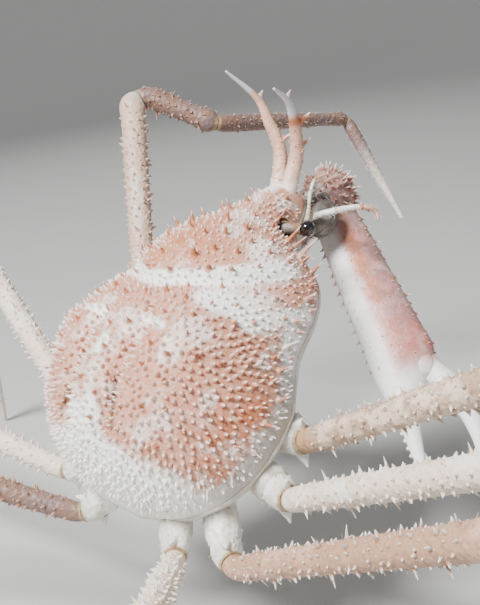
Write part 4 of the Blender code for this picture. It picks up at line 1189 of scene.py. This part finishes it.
class CRAB_OT_shell(bpy.types.Operator):
    """Model the shell with its spines, cones and bristles"""

    bl_idname = "crab.shell"
    bl_label = "Shell"

    def execute(self, context):
        sizes = context.scene.crab_sizes
        rng = np.random.default_rng(SEEDS["shell"])
        shell = trunk_body("crab_shell", SHELL_EDGE_LEVEL, True)
        for orbit in ORBITS:
            hollow_out(shell, orbit, ORBIT_RADIUS)
        outward_faces(shell)
        colour_trunk(shell)
        pieces = [self.named_spines(), self.larger_spines(rng, sizes.spines), self.cones(rng, sizes)]
        finish_parts(shell, pieces, "shell", ["carapace"])
        self.bristles(rng, sizes)
        return {"FINISHED"}

    def named_spines(self):
        spots, rows = [], []
        for along, degrees, length, radius, lean in NAMED_SPINES:
            for turn in (math.radians(degrees), math.pi - math.radians(degrees)):
                spots.append((along, turn))
                rows.append((length, radius, lean))
        lengths, radii, leans = np.array(rows).T
        radii = radii * SPINE_FLARE * MM
        spines = grow_on_shell("spines", spine_model(12), spots, lengths * MM, radii, leans, 1, (0.5, 0.8))
        return join(spines, [self.side_tips()])

    def side_tips(self):
        """Further tips that fork off the largest spine behind each eye"""
        along, degrees, reach, lean = FORKED_SPINE
        roots, aims, lengths, radii = [], [], [], []
        for sign, turn in ((1, math.radians(degrees)), (-1, math.pi - math.radians(degrees))):
            normal = trunk_normals(along, turn) + np.array([lean, 0, 0])
            for share, (x, y, z), length, radius in SIDE_TIPS:
                roots.append(to_world(trunk_surface(along, turn) + unit(normal) * share * reach * MM))
                aims.append(TRUNK_TURN @ np.array([x, -y * sign, z]))
                lengths.append(length * MM)
                radii.append(radius * MM)
        zones = np.tile([0, 0.4, 0, 1.0], (len(roots), 1))
        return stamp("tips", spine_model(12), roots, aims, lengths, np.array(radii), 8, zones, (0.5, 0.8))

    def larger_spines(self, rng, count):
        spots = spread_over(count, SPINE_TRIES, SPINE_SPACING, lambda: shell_spot(rng))
        along, turn = np.array(spots).T
        side = np.abs(np.cos(turn))
        rear = ramp(-along, 0.38, 0.02)
        skirt = ramp(side, 0.97, 0.005) * ramp(-along, 0.0, 0.02)
        crest = ramp(along, 0.06, 0.02) * ramp(-side, -0.4, 0.05)
        lengths = rng.uniform(1.9, 3.6, len(spots)) * (1 + 0.35 * crest - 0.45 * rear - 0.4 * skirt) * MM
        radii = 0.65 * MM + lengths * 0.34
        tones = rng.uniform(0.7, 1.0, len(spots)) * (1 - 0.6 * np.maximum(rear, skirt))
        leans = np.full(len(spots), 0.12)
        return grow_on_shell("spines", spine_model(8), spots, lengths, radii, leans, 2, tones)

    def cones(self, rng, sizes):
        """Small cones, densest and tallest on the domes, sparse on the front and in the skirt"""

        def draw():
            spot, point = shell_spot(rng)
            if spot is None:
                return spot, point
            side = abs(math.cos(spot[1]))
            skirt = side > 0.97 and -0.42 < spot[0] < 0.02
            front = ramp(spot[0], 0.02, 0.02)
            keep = rng.uniform() > 0.5 * front and (not skirt or rng.uniform() < 0.2)
            return (spot if keep else None), point

        spots = spread_over(sizes.tubercles, CONE_TRIES, CONE_SPACING, draw)
        along = np.array(spots)[:, 0]
        side = np.abs(np.cos(np.array(spots)[:, 1]))
        scale = 0.55 + 0.4 * ramp(-along, -0.03, 0.03) - 0.3 * ramp(-along, 0.42, 0.02)
        scale = scale * (1 - 0.45 * ramp(side, 0.94, 0.015))
        lengths = sizes.tubercle_length * scale * rng.uniform(0.75, 1.25, len(spots))
        radii = 0.65 * MM + lengths * 0.26
        leans = np.full(len(spots), 0.1)
        return grow_on_shell("cones", spine_model(7, CONE), spots, lengths, radii, leans, 3, (0, 0.4))

    def bristles(self, rng, sizes):
        """Short hairs, most of them on the rear"""
        spots = []
        while len(spots) < sizes.bristles:
            spot, _ = shell_spot(rng)
            if spot is not None and rng.uniform() < 0.3 + 0.7 * ramp(-spot[0], 0.36, 0.03):
                spots.append(spot)
        rear = ramp(-np.array(spots)[:, 0], 0.38, 0.02)
        lengths = rng.uniform(0.5, 1.4, len(spots)) * sizes.bristle_length * (0.8 + 0.5 * rear)
        radii = np.full(len(spots), HAIR_RADIUS)
        model = spine_model(3, HAIR, 0.6)
        leans = rng.uniform(-0.7, 0.2, len(spots))
        hairs = grow_on_shell("crab_shell_bristles", model, spots, lengths, radii, leans, 4, (0, 1), True)
        finish_parts(hairs, [], "bristle")


class CRAB_OT_underside(bpy.types.Operator):
    """Model the underside with its folded abdomen"""

    bl_idname = "crab.underside"
    bl_label = "Underside"

    def execute(self, context):
        belly = trunk_body("crab_underside", SHELL_EDGE_LEVEL - SEAM, False)
        outward_faces(belly)
        finish_parts(belly, [], "belly", ["underside"])
        return {"FINISHED"}


# Head


class CRAB_OT_horns(bpy.types.Operator):
    """Model the two forked horns"""

    bl_idname = "crab.horns"
    bl_label = "Horns"

    def execute(self, context):
        model = spine_model(12, THORN, 0.08)
        small = spine_model(5, CONE)
        rings, faces = TUBE_GRIDS["horn"]
        for number, (side, _) in enumerate(SIDES):
            rng = np.random.default_rng(SEEDS["horns"] + number)
            tube = tube_along(HORN_POINTS[side], HORN_RADII, rings, (0, 1, 0))
            horn = shape_tube(f"crab_{side}_horn", tube, faces, flat_ends=False)
            shares, lengths, radii, leftward = np.array(HORN_SPINES[side]).T
            roots = tube.centres[np.rint(shares * (rings - 1)).astype(int)]
            aims = [TRUNK_TURN @ np.array([1, turned, HORN_SPINE_DROP]) for turned in leftward]
            lengths = (lengths + radii) * MM
            radii = radii * 1.2 * MM
            tones = (0.1, 0.5)
            forks = stamp("forks", model, roots, aims, lengths, radii, 5 + number, tones=tones, along=shares)
            picks = []
            for _ in range(HORN_GRAINS):
                turn = rng.uniform(0, 2 * math.pi)
                picks.append((rng.uniform(0.12, 0.6), turn, rng.uniform(0.4, 0.9), 0.5, 0.5))
            grains = grow_on_tube("grains", small, tube, picks, 6 + number, 0, (0, 0.6))
            for piece in (horn, forks, grains):
                self.paint(piece, side)
            finish_parts(horn, [forks, grains], "horn", [f"{side}_horn"])
        return {"FINISHED"}

    def paint(self, piece, side):
        """White grey beyond a horn's fork, and on one horn an orange ring below it"""
        along = read_attribute(piece, "along")
        white_from, ring = HORN_PAINT[side]
        white = ramp(along, white_from, 0.008)
        rings = ring * bell(along, white_from - 0.055, 0.04)
        zero = np.zeros_like(along)
        set_attribute(piece, "zone", np.stack([white, rings, zero, zero + 1], axis=-1))


class CRAB_OT_eyes(bpy.types.Operator):
    """Model the stalked eyes"""

    bl_idname = "crab.eyes"
    bl_label = "Eyes"

    def execute(self, context):
        for side, sign in SIDES:
            start, end = (from_trunk(x, y * sign, z) for x, y, z in EYE_ENDS)
            axis = unit(end - start)
            shares, radii = np.array(EYE_STALK).T
            upright = np.array([0, 0, 1.0])
            stalk = Tube(start + (end - start) * shares[:, None], radii * MM, radii * MM, upright)
            eye = shape_tube(f"crab_{side}_eye", stalk, 28)
            give_material(eye, "stalk")
            angles = np.linspace(0.4, math.pi - 0.04, 24)
            centre = start + (end - start) * EYE_GLOBE_PLACE
            centres = [centre - axis * math.cos(angle) * EYE_GLOBE_RADIUS for angle in angles]
            widths = np.sin(angles) * EYE_GLOBE_RADIUS
            globe = shape_tube("globe", Tube(centres, widths, widths * 0.94, upright), 36)
            give_material(globe, "eye")
            join(eye, [globe])
            finish_piece(eye, [f"{side}_eye"], 60)
        return {"FINISHED"}


class CRAB_OT_feelers(bpy.types.Operator):
    """Model the antennules and antennae with their joints and hairs"""

    bl_idname = "crab.feelers"
    bl_label = "Feelers"

    def execute(self, context):
        hair = spine_model(3, HAIR, 0.5)
        for number, (side, sign) in enumerate(SIDES):
            rng = np.random.default_rng(SEEDS["feelers"] + number)
            forms = (
                ("antennule", ANTENNULES[side], ANTENNULE_RADII, ANTENNULE_JOINTS, "feeler"),
                ("antenna", mirrored(ANTENNA_POINTS, sign), ANTENNA_RADII, ANTENNA_JOINTS, "antenna"),
            )
            for name, points, radii, joints, finish in forms:
                rings, faces = TUBE_GRIDS[name]
                tube = tube_along(points, radii, rings, (0, 0, 1))
                for joint in joints:
                    swell = 1 + 0.28 * bell(tube.places, joint - 0.012, 0.012)
                    swell = swell - 0.3 * bell(tube.places, joint, 0.006)
                    tube.widths *= swell
                    tube.heights *= swell
                feeler = shape_tube(f"crab_{side}_{name}", tube, faces, flat_ends=False)
                along = read_attribute(feeler, "along")
                set_attribute(feeler, "joint", sum(bell(along, joint, 0.012) for joint in joints))
                give_material(feeler, finish)
                if name == "antennule":
                    join(feeler, [self.side_branch(tube)])
                finish_piece(feeler, [f"{side}_{name}"])
                hairs = grow_hairs(f"crab_{side}_{name}_hairs", hair, tube, rng, "feeler", 7)
                finish_parts(hairs, [], "bristle")
        return {"FINISHED"}

    def side_branch(self, tube):
        """Short second whip beside the end of an antennule"""
        rings, faces = TUBE_GRIDS["side_branch"]
        place, length, radius, thinning = SIDE_BRANCH
        start, outward, tangent = tube.point(place, 0.0)
        shares = np.linspace(0, 1, rings)
        line = start + (tangent * 0.7 - outward * 0.9) * (shares * length * MM)[:, None]
        radii = (radius - thinning * shares) * MM
        branch = shape_tube("branch", Tube(line, radii, radii, outward), faces, flat_ends=False)
        set_attribute(branch, "along", np.full(len(branch.data.vertices), 0.9))
        give_material(branch, "feeler")
        return branch


class CRAB_OT_mouthparts(bpy.types.Operator):
    """Model the mouth plates"""

    bl_idname = "crab.mouthparts"
    bl_label = "Mouthparts"

    def execute(self, context):
        hair = spine_model(3, HAIR, 0.5)
        for number, (side, sign) in enumerate(SIDES):
            rng = np.random.default_rng(SEEDS["mouthparts"] + number)
            plate, _, _ = add_ball(f"crab_{side}_mouthpart", 56, 40)
            places = read_points(plate)
            places[:, 0] *= np.where(places[:, 0] < 0, 0.85, 1.0)
            seam = bell(places[:, 2], 0.12, 0.05) + bell(places[:, 2], -0.45, 0.05)
            seam = seam + bell(places[:, 0], 0.55, 0.04)
            places *= (1 - 0.09 * seam)[:, None]
            x, y, z = MOUTH_CENTRE
            centre = np.array([x, y * sign, z])
            set_points(plate, to_world((places * np.array(MOUTH_RADII) + centre) * MM))
            level = TRUNK_PLACE + Vector((0, sign * SEAM / 2, 0))
            cut_level(plate, level, (0, -sign, 0))
            outward_faces(plate)
            rings, faces = TUBE_GRIDS["palp"]
            tube = tube_along(mirrored(PALP_POINTS, sign), PALP_RADII, rings, (0, 1, 0))
            palp = shape_tube("palp", tube, faces, flat_ends=False)
            finish_parts(plate, [palp], "mouth", [f"{side}_mouthpart"])
            hairs = grow_hairs(f"crab_{side}_palp_hairs", hair, tube, rng, "palp", 9)
            finish_parts(hairs, [], "bristle")
        return {"FINISHED"}


# Claw arms


def claw_tube(stations, joint, aim, edge, stretch_length, count):
    """A tube from stations measured from the hinge, its rings square to the palm before it"""
    table = []
    for distance, shift, width, height in stations:
        place = distance if distance > -10 else distance * stretch_length / -stations[0][0]
        table.append((place, shift, width, height))
    places = np.linspace(table[0][0], table[-1][0], count)
    shifts, widths, heights = (smooth_value(table, places, column) for column in (1, 2, 3))
    centres = joint + (aim[None, :] * places[:, None] + edge[None, :] * shifts[:, None]) * MM
    onward = np.gradient(centres, axis=0)
    onward /= np.linalg.norm(onward, axis=1, keepdims=True)
    past = ramp(places, 6, 2.0)[:, None]
    tangents = onward * past + aim[None, :] * (1 - past)
    widths = np.maximum(widths, 0.6) * MM
    heights = np.maximum(heights, 0.6) * MM
    return Tube(centres, widths, heights, np.cross(aim, edge), None, tangents)


class CRAB_OT_claws(bpy.types.Operator):
    """Model the two claw arms"""

    bl_idname = "crab.claws"
    bl_label = "Claws"

    def execute(self, context):
        self.spine = spine_model(7)
        self.tooth = spine_model(8, KNOB, 0)
        self.hair = spine_model(3, HAIR, 0.5)
        for number, (side, _) in enumerate(SIDES):
            self.model_arm(side, np.random.default_rng(SEEDS["claws"] + number))
        return {"FINISHED"}

    def model_arm(self, side, rng):
        shoulder, merus_end, carpus_centre, hinge, lower_edge = CLAW_ARMS[side]
        start, end = from_trunk(*shoulder), from_trunk(*merus_end)
        centre, joint = from_trunk(*carpus_centre), from_trunk(*hinge)
        along, aim = unit(end - start), unit(joint - centre)
        edge = TRUNK_TURN @ np.array(lower_edge)
        edge = unit(edge - aim * np.dot(edge, aim))
        self.model_merus(side, start, end, rng)
        self.model_carpus(side, centre, aim, end, along, rng)
        self.model_palm(side, centre, joint, aim, edge, rng)
        self.model_finger(side, joint, aim, edge, rng)

    def model_merus(self, side, start, end, rng):
        rings, faces = TUBE_GRIDS["claw_merus"]
        places = np.linspace(0, 1, rings)
        radii = smooth_value(CLAW_MERUS_RADII, places, 1) * MM
        tube = Tube(start + (end - start) * places[:, None], radii, radii, np.cross(end - start, (0, 0, 1)))
        merus = shape_tube(f"crab_{side}_claw_merus", tube, faces)
        set_zone(merus, *CARPUS_PAINT)
        picks = []
        for _ in range(CLAW_MERUS_SPINES):
            length = rng.uniform(0.8, 3.0)
            turn = rng.uniform(0, 2 * math.pi)
            picks.append((rng.uniform(0.25, 0.95), turn, length, 0.5 + 0.3 * length, 0.3))
        spines = grow_on_tube("spines", self.spine, tube, picks, 11, 0.7, (0, 0.8))
        set_zone(spines, *CARPUS_PAINT)
        finish_parts(merus, [spines], "claw", [f"{side}_claw_merus"])

    def model_carpus(self, side, centre, aim, merus_end, along, rng):
        ball, _, _ = add_ball(f"crab_{side}_claw_carpus", 56, 40)
        set_points(ball, (read_points(ball) * np.array(CLAW_CARPUS_RADII) * MM) @ TRUNK_TURN.T + centre)
        cut_level(ball, tuple(merus_end + along * SEAM), tuple(-along))
        cut_level(ball, tuple(centre + aim * CLAW_CARPUS_REACH * MM), tuple(aim))
        outward_faces(ball)
        set_zone(ball, *CARPUS_PAINT)
        roots, directions, lengths = [], [], []
        while len(roots) < CLAW_CARPUS_SPINES:
            outward = unit(rng.normal(size=3))
            facing_palm = outward @ (TRUNK_TURN.T @ aim) > 0.72
            if facing_palm or outward @ (TRUNK_TURN.T @ -along) > 0.5:
                continue
            reach = outward * np.array(CLAW_CARPUS_RADII) * MM
            roots.append(centre + TRUNK_TURN @ (reach - outward * 0.5 * MM))
            directions.append(TRUNK_TURN @ outward)
            lengths.append(rng.choice([1.2, 2.2, 3.4], p=[0.5, 0.3, 0.2]) * MM)
        lengths = np.array(lengths)
        radii = 0.6 * MM + lengths * 0.32
        spines = stamp("spines", self.spine, roots, directions, lengths, radii, 17, tones=(0, 0.9))
        set_zone(spines, *CARPUS_PAINT)
        finish_parts(ball, [spines], "claw", [f"{side}_claw_carpus"])

    def model_palm(self, side, centre, joint, aim, edge, rng):
        palm_start = centre + aim * (CLAW_CARPUS_REACH * MM + SEAM)
        stretch_length = np.linalg.norm(joint - palm_start) / MM
        rings, faces = TUBE_GRIDS["palm"]
        tube = claw_tube(PALM_STATIONS, joint, aim, edge, stretch_length, rings)
        palm = shape_tube(f"crab_{side}_claw_palm", tube, faces, flat_ends=False)
        self.paint(palm, joint, aim, edge)
        picks = []
        rows, steps, gap = PALM_SPINES
        for row, turn in enumerate(np.linspace(-0.5 * math.pi, 1.5 * math.pi, rows + 1)[:-1]):
            at_edge = abs(math.cos(turn)) < 0.1
            for step in range(steps):
                place = 0.02 + gap * (step + 0.5 * (row % 2)) + rng.uniform(-0.008, 0.008)
                length = rng.uniform(1.4, 2.8) if at_edge else rng.uniform(0.6, 1.3)
                picks.append((place, turn + rng.uniform(-0.09, 0.09), length, 0.5 + 0.4 * length, 0.35))
        spines = grow_on_tube("spines", self.spine, tube, picks, 12, 0.5, (0.4, 1.0))
        self.paint(spines, joint, aim, edge)
        teeth = self.teeth(tube, PALM_TEETH, -0.5 * math.pi, 13)
        lobes = []
        axes = np.array([aim, edge, np.cross(aim, edge)])
        for lift in (-1, 1):
            lobe, _, _ = add_ball("lobe", 32, 24)
            place = joint + (np.array(HINGE_LOBE_PLACE) * (1, 1, lift) * MM) @ axes
            set_points(lobe, (read_points(lobe) * np.array(HINGE_LOBE) * MM) @ axes + place)
            self.paint(lobe, joint, aim, edge)
            lobes.append(lobe)
        finish_parts(palm, [spines, teeth, *lobes], "claw", [f"{side}_claw_palm"])

    def model_finger(self, side, joint, aim, edge, rng):
        rings, faces = TUBE_GRIDS["finger"]
        tube = claw_tube(FINGER_STATIONS, joint, aim, edge, -FINGER_STATIONS[0][0], rings)
        finger = shape_tube(f"crab_{side}_claw_finger", tube, faces, flat_ends=False)
        self.paint(finger, joint, aim, edge)
        teeth = self.teeth(tube, FINGER_TEETH, 0.5 * math.pi, 14)
        picks = []
        for _ in range(FINGER_SPINES):
            picks.append((rng.uniform(0.2, 0.6), rng.uniform(3.3, 6.1), rng.uniform(0.6, 1.6), 0.45, 0.3))
        spines = grow_on_tube("spines", self.spine, tube, picks, 15, 0.4, (0, 0.6))
        self.paint(spines, joint, aim, edge)
        finish_parts(finger, [teeth, spines], "claw", [f"{side}_claw_finger"])
        hairs = grow_hairs(f"crab_{side}_finger_hairs", self.hair, tube, rng, "finger", 16)
        finish_parts(hairs, [], "bristle")

    def teeth(self, tube, row, turn, seed):
        """A row of low round teeth"""
        picks = [(place, turn, 1.2, 0.9, 0.1) for place in np.linspace(*row)]
        return grow_on_tube("teeth", self.tooth, tube, picks, seed, 0, (0, 0.1))

    def paint(self, piece, joint, aim, edge):
        """Pink upper side, reddest at the hinge, and a stripe above the white edge and fingers"""
        points = read_points(piece) - joint
        ahead, lower = points @ aim / MM, points @ edge / MM
        border = 4.8 + 0.045 * ahead
        palm = ramp(-ahead, 1.0, 1.6)
        near_hinge = bell(ahead, -7, 11)
        pink = ramp(-lower, -border, 0.6) * palm * (0.85 + 0.15 * near_hinge)
        stripe = bell(lower, border - 2.6, 2.8) * palm * ramp(-ahead, 14, 7)
        rough = ramp(-lower, 3.5 - border, 1.5) * palm * (0.45 - 0.4 * near_hinge)
        set_attribute(piece, "zone", np.stack([stripe, pink, rough, np.ones_like(pink)], axis=-1))


# Legs


def heading_vector(heading, rise):
    """Unit vector from a heading to the animal's left of its nose and a rise, in degrees"""
    turn, climb = math.radians(heading), math.radians(rise)
    level = math.cos(climb)
    return np.array([math.cos(turn) * level, math.sin(turn) * level, math.sin(climb)])


def bend(before, joint, after, radius, share):
    """Place and tangent on the arc that rounds the corner between two straight stretches"""
    ahead, turned = unit(joint - before), unit(after - joint)
    whole = math.acos(np.clip(ahead @ turned, -1, 1))
    inward = unit(turned - ahead * math.cos(whole))
    angle = whole * share
    start = joint - ahead * radius * math.tan(whole / 2)
    place = start + ahead * radius * math.sin(angle) + inward * radius * (1 - math.cos(angle))
    return place, ahead * math.cos(angle) + inward * math.sin(angle)


def limb_lines(points, corners, steps):
    """Centre points and end tangents of each segment, with each joint on a rounded corner"""
    lines = []
    last = len(points) - 2
    for i in range(last + 1):
        start, end = points[i], points[i + 1]
        aim = unit(end - start)
        head, tail = [(start, aim)], [(end, aim)]
        if i > 0:
            head = [bend(points[i - 1], start, end, corners[i - 1], share) for share in BEND_HEAD]
        if i < last:
            tail = [bend(start, end, points[i + 2], corners[i], share) for share in BEND_TAIL]
        gap = tail[0][0] - head[-1][0]
        middle = [head[-1][0] + gap * share for share in np.linspace(0, 1, steps[i] + 2)[1:-1]]
        centres = [place for place, _ in head] + middle + [place for place, _ in tail]
        centres[0] = centres[0] + head[0][1] * (SEAM / 2 if i else 0)
        centres[-1] = centres[-1] - tail[-1][1] * (SEAM / 2 if i < last else 0)
        lines.append((np.array(centres), (head[0][1], tail[-1][1])))
    return lines


def standing_points(side, pair):
    """Joints of a leg whose foot stands on the floor"""
    inner, outer, merus_aim, carpus_aim, propodus_heading = STANDING_LEGS[side, pair]
    lengths = LEG_LENGTHS[pair]
    start = from_trunk(*outer)
    knee = start + heading_vector(*merus_aim) * lengths[0]
    wrist = knee + heading_vector(*carpus_aim) * lengths[1]
    steep, level = math.radians(88), 0.0
    for _ in range(40):
        slope = (steep + level) / 2
        lower = min(slope + DACTYLUS_STEEPER, math.radians(88))
        drop = lengths[2] * math.sin(slope) + lengths[3] * math.sin(lower)
        if drop > wrist[2] + FOOT_DEPTH:
            steep = slope
        else:
            level = slope
    ankle = wrist + heading_vector(propodus_heading, -math.degrees(slope)) * lengths[2]
    tip = ankle + heading_vector(propodus_heading, -math.degrees(lower)) * lengths[3]
    return [from_trunk(*inner), start, knee, wrist, ankle, tip]


def raised_points():
    """Joints of the front left leg, held up off the floor"""
    inner, outer, aims = RAISED_LEG
    points = [from_trunk(*inner), from_trunk(*outer)]
    for aim, length in zip(aims, LEG_LENGTHS[1]):
        points.append(points[-1] + heading_vector(*aim) * length)
    return points


class CRAB_OT_legs(bpy.types.Operator):
    """Model the eight walking legs, segment by segment"""

    bl_idname = "crab.legs"
    bl_label = "Legs"

    def execute(self, context):
        self.spine = spine_model(7)
        self.cone = spine_model(6, CONE, 0.2)
        self.hair = spine_model(3, HAIR, 0.5)
        legs = [("left", 1, raised_points())]
        legs += [(side, pair, standing_points(side, pair)) for side, pair in STANDING_LEGS]
        for number, (side, pair, points) in enumerate(legs):
            self.model_leg(side, pair, points, np.random.default_rng(SEEDS["legs"] + number))
        return {"FINISHED"}

    def model_leg(self, side, pair, points, rng):
        lines = limb_lines(points, LEG_CORNERS, LEG_STEPS)
        furs = []
        for row, (name, (centres, ends)) in enumerate(zip(LEG_PROFILES, lines)):
            tube = self.segment_tube(name, centres, ends, LEG_GIRTHS[pair])
            self.model_segment(side, pair, name, tube, rng)
            chart_row = (row / len(lines), (row + 1) / len(lines))
            furs.append(grow_hairs("hairs", self.hair, tube, rng, name, 22, chart_row))
        furs[0].name = f"crab_{side}_leg_{pair}_hairs"
        finish_parts(furs[0], furs[1:], "bristle")

    def segment_tube(self, name, centres, ends, girth):
        profile = np.array(LEG_PROFILES[name])
        lengths = np.concatenate([[0], np.cumsum(np.linalg.norm(np.diff(centres, axis=0), axis=1))])
        radii = smooth_value(profile, lengths / lengths[-1], 1)
        radii = np.maximum(radii, profile[:, 1].min()) * MM * girth
        tube = Tube(centres, radii, radii, np.cross(ends[0], (0, 0, 1)), ends)
        if name == "base":
            collar = 1 + 0.05 * bell(tube.places, 0.60, 0.05) - 0.09 * bell(tube.places, 0.70, 0.03)
            tube.widths *= 0.92 * collar
            tube.heights *= collar
        return tube

    def model_segment(self, side, pair, name, tube, rng):
        piece = shape_tube(f"crab_{side}_leg_{pair}_{name}", tube, LEG_FACES)
        along = read_attribute(piece, "along")
        reach = tube.length / MM
        joint = ramp(-along * reach, -0.9, 0.25) * (name != "base")
        joint = joint + ramp(along * reach, reach - 1.0, 0.25) * (name != "dactylus")
        if name == "base":
            joint = joint + 0.8 * bell(along, 0.70, 0.015)
        set_attribute(piece, "joint", joint)
        if name == "dactylus" and (side, pair) in STANDING_LEGS:
            cut_level(piece, (0, 0, 0), (0, 0, -1))
            outward_faces(piece)
        parts = []
        if name == "base":
            ring = 1 + LEG_STEPS[0]
            teeth = []
            for quarters, length, radius in BASE_TEETH:
                teeth.append((tube.places[ring], quarters * math.pi / 2, length, radius * 1.1, 0.6))
            parts.append(grow_on_tube("teeth", spine_model(12, CONE, 0), tube, teeth, 20, 0, (0, 0.1)))
        long, cones = self.spine_picks(name, reach, rng)
        if long:
            parts.append(grow_on_tube("spines", self.spine, tube, long, 21, 0, (0, 0.6)))
        if cones:
            parts.append(grow_on_tube("cones", self.cone, tube, cones, 23, 0, (0, 0.8)))
        finish_parts(piece, parts, self.finish_for(side, pair, name), [f"{side}_leg_{pair}_{name}"])

    def spine_picks(self, name, reach, rng):
        """Long slender spines above and below, and rows of broad cones with small ones between"""
        rows, gap, lengths, long_count, small_count = LEG_GROWTH[name]
        long, cones = [], []
        count = int(reach * ROW_REACH / gap) if rows else 0
        for row in range(rows):
            turn = 2 * math.pi * row / rows + 0.2
            for step in range(count):
                share = (step + 0.5 * (row % 2) + rng.uniform(-0.3, 0.3) + 0.3) / (count + 0.6)
                place = ROW_START + ROW_REACH * share
                length = rng.uniform(*lengths) * rng.choice([0.55, 0.8, 1.0])
                cones.append((place, turn + rng.uniform(-0.2, 0.2), length, 0.5 + 0.26 * length, 0.3))
        for step in range(long_count):
            place = LONG_START + LONG_REACH * (step + rng.uniform()) / long_count
            turn = math.pi * (0.5 + step % 2) + rng.uniform(-0.6, 0.6)
            long.append((place, turn, rng.uniform(2.6, 4.4), 1.3, 0.25))
        for _ in range(small_count):
            turn = rng.uniform(0, 2 * math.pi)
            cones.append((rng.uniform(0.04, 0.9), turn, rng.uniform(0.3, 0.8), 0.45, 0.3))
        return long, cones

    def finish_for(self, side, pair, name):
        """Which of the legs' finishes a segment has in the photograph"""
        if name == "base":
            return "base"
        if (side, pair) == ("left", 1):
            return {"merus": "leg_raised", "dactylus": "leg_tip"}.get(name, "leg_mauve")
        return LEG_FINISHES[side, pair]


# Stage


class CRAB_OT_stage(bpy.types.Operator):
    """Add the floor, the lights and the camera"""

    bl_idname = "crab.stage"
    bl_label = "Stage"

    def execute(self, context):
        self.add_floor(context)
        for name, place, power, size in LIGHTS:
            bpy.ops.object.light_add(type="AREA", location=place)
            light = context.active_object
            light.name = name
            light.data.energy = power
            light.data.size = size
            light.rotation_euler = (LIGHT_AIM - light.location).to_track_quat("-Z", "Y").to_euler()
        world = bpy.data.worlds.new("studio_world")
        world.use_nodes = True
        background = world.node_tree.nodes["Background"]
        background.inputs["Color"].default_value = WORLD_COLOUR
        background.inputs["Strength"].default_value = WORLD_STRENGTH
        context.scene.world = world
        self.add_camera(context)
        return {"FINISHED"}

    def add_floor(self, context):
        """A round floor that curves up into a plain backdrop all round"""
        deselect()
        steps = {"x_subdivisions": FLOOR_STEPS, "y_subdivisions": FLOOR_STEPS}
        bpy.ops.mesh.primitive_grid_add(size=FLOOR_SIZE, **steps)
        floor = context.active_object
        floor.name = "studio_floor"
        points = read_points(floor)
        reach = np.linalg.norm(points[:, :2], axis=1)
        out = np.clip(reach - FLOOR_RADIUS, 0, COVE_RADIUS)
        points[:, 2] = COVE_RADIUS - np.sqrt(COVE_RADIUS**2 - out**2)
        past = np.clip(reach - FLOOR_RADIUS - COVE_RADIUS, 0, None)
        points[:, 2] += past * BACKDROP_SLOPE
        set_points(floor, points)
        bpy.ops.object.shade_smooth()
        give_material(floor, "floor")
        deselect()

    def add_camera(self, context):
        turn = TRUNK_MATRIX.to_3x3()
        back = (turn @ CAMERA_FROM).normalized()
        up = turn @ CAMERA_UP
        right = up.cross(back).normalized()
        up = back.cross(right)
        place = TRUNK_PLACE + back * CAMERA_DISTANCE
        bpy.ops.object.camera_add()
        camera = context.active_object
        camera.name = "camera"
        axes = Matrix((right, up, back)).transposed()
        camera.matrix_world = Matrix.Translation(place) @ axes.to_4x4()
        camera.data.lens = CAMERA_LENS
        camera.data.shift_x, camera.data.shift_y = CAMERA_SHIFT
        camera.data.clip_start = CAMERA_CLIP
        context.scene.camera = camera


class CRAB_PT_panel(bpy.types.Panel):
    """Lists the steps that model the crab"""

    bl_label = "Spiny spider crab"
    bl_idname = "CRAB_PT_panel"
    bl_space_type = "VIEW_3D"
    bl_region_type = "UI"
    bl_category = "Crab"

    def draw(self, context):
        for group in (context.scene.crab_sizes, context.scene.crab_colours):
            for name in group.bl_rna.properties.keys():
                if name not in ("rna_type", "name"):
                    self.layout.prop(group, name)
        for operator in OPERATORS:
            self.layout.operator(operator.bl_idname)


OPERATORS = (
    CRAB_OT_shell,
    CRAB_OT_underside,
    CRAB_OT_horns,
    CRAB_OT_eyes,
    CRAB_OT_feelers,
    CRAB_OT_mouthparts,
    CRAB_OT_claws,
    CRAB_OT_legs,
    CRAB_OT_stage,
)
CLASSES = (CrabSizes, CrabColours, *OPERATORS, CRAB_PT_panel)


def register():
    for item in CLASSES:
        bpy.utils.register_class(item)
    bpy.types.Scene.crab_sizes = bpy.props.PointerProperty(type=CrabSizes)
    bpy.types.Scene.crab_colours = bpy.props.PointerProperty(type=CrabColours)


def unregister():
    del bpy.types.Scene.crab_colours
    del bpy.types.Scene.crab_sizes
    for item in reversed(CLASSES):
        bpy.utils.unregister_class(item)


def main():
    register()
    bpy.ops.crab.shell()
    bpy.ops.crab.underside()
    bpy.ops.crab.horns()
    bpy.ops.crab.eyes()
    bpy.ops.crab.feelers()
    bpy.ops.crab.mouthparts()
    bpy.ops.crab.claws()
    bpy.ops.crab.legs()
    bpy.ops.crab.stage()


if __name__ == "__main__":
    main()
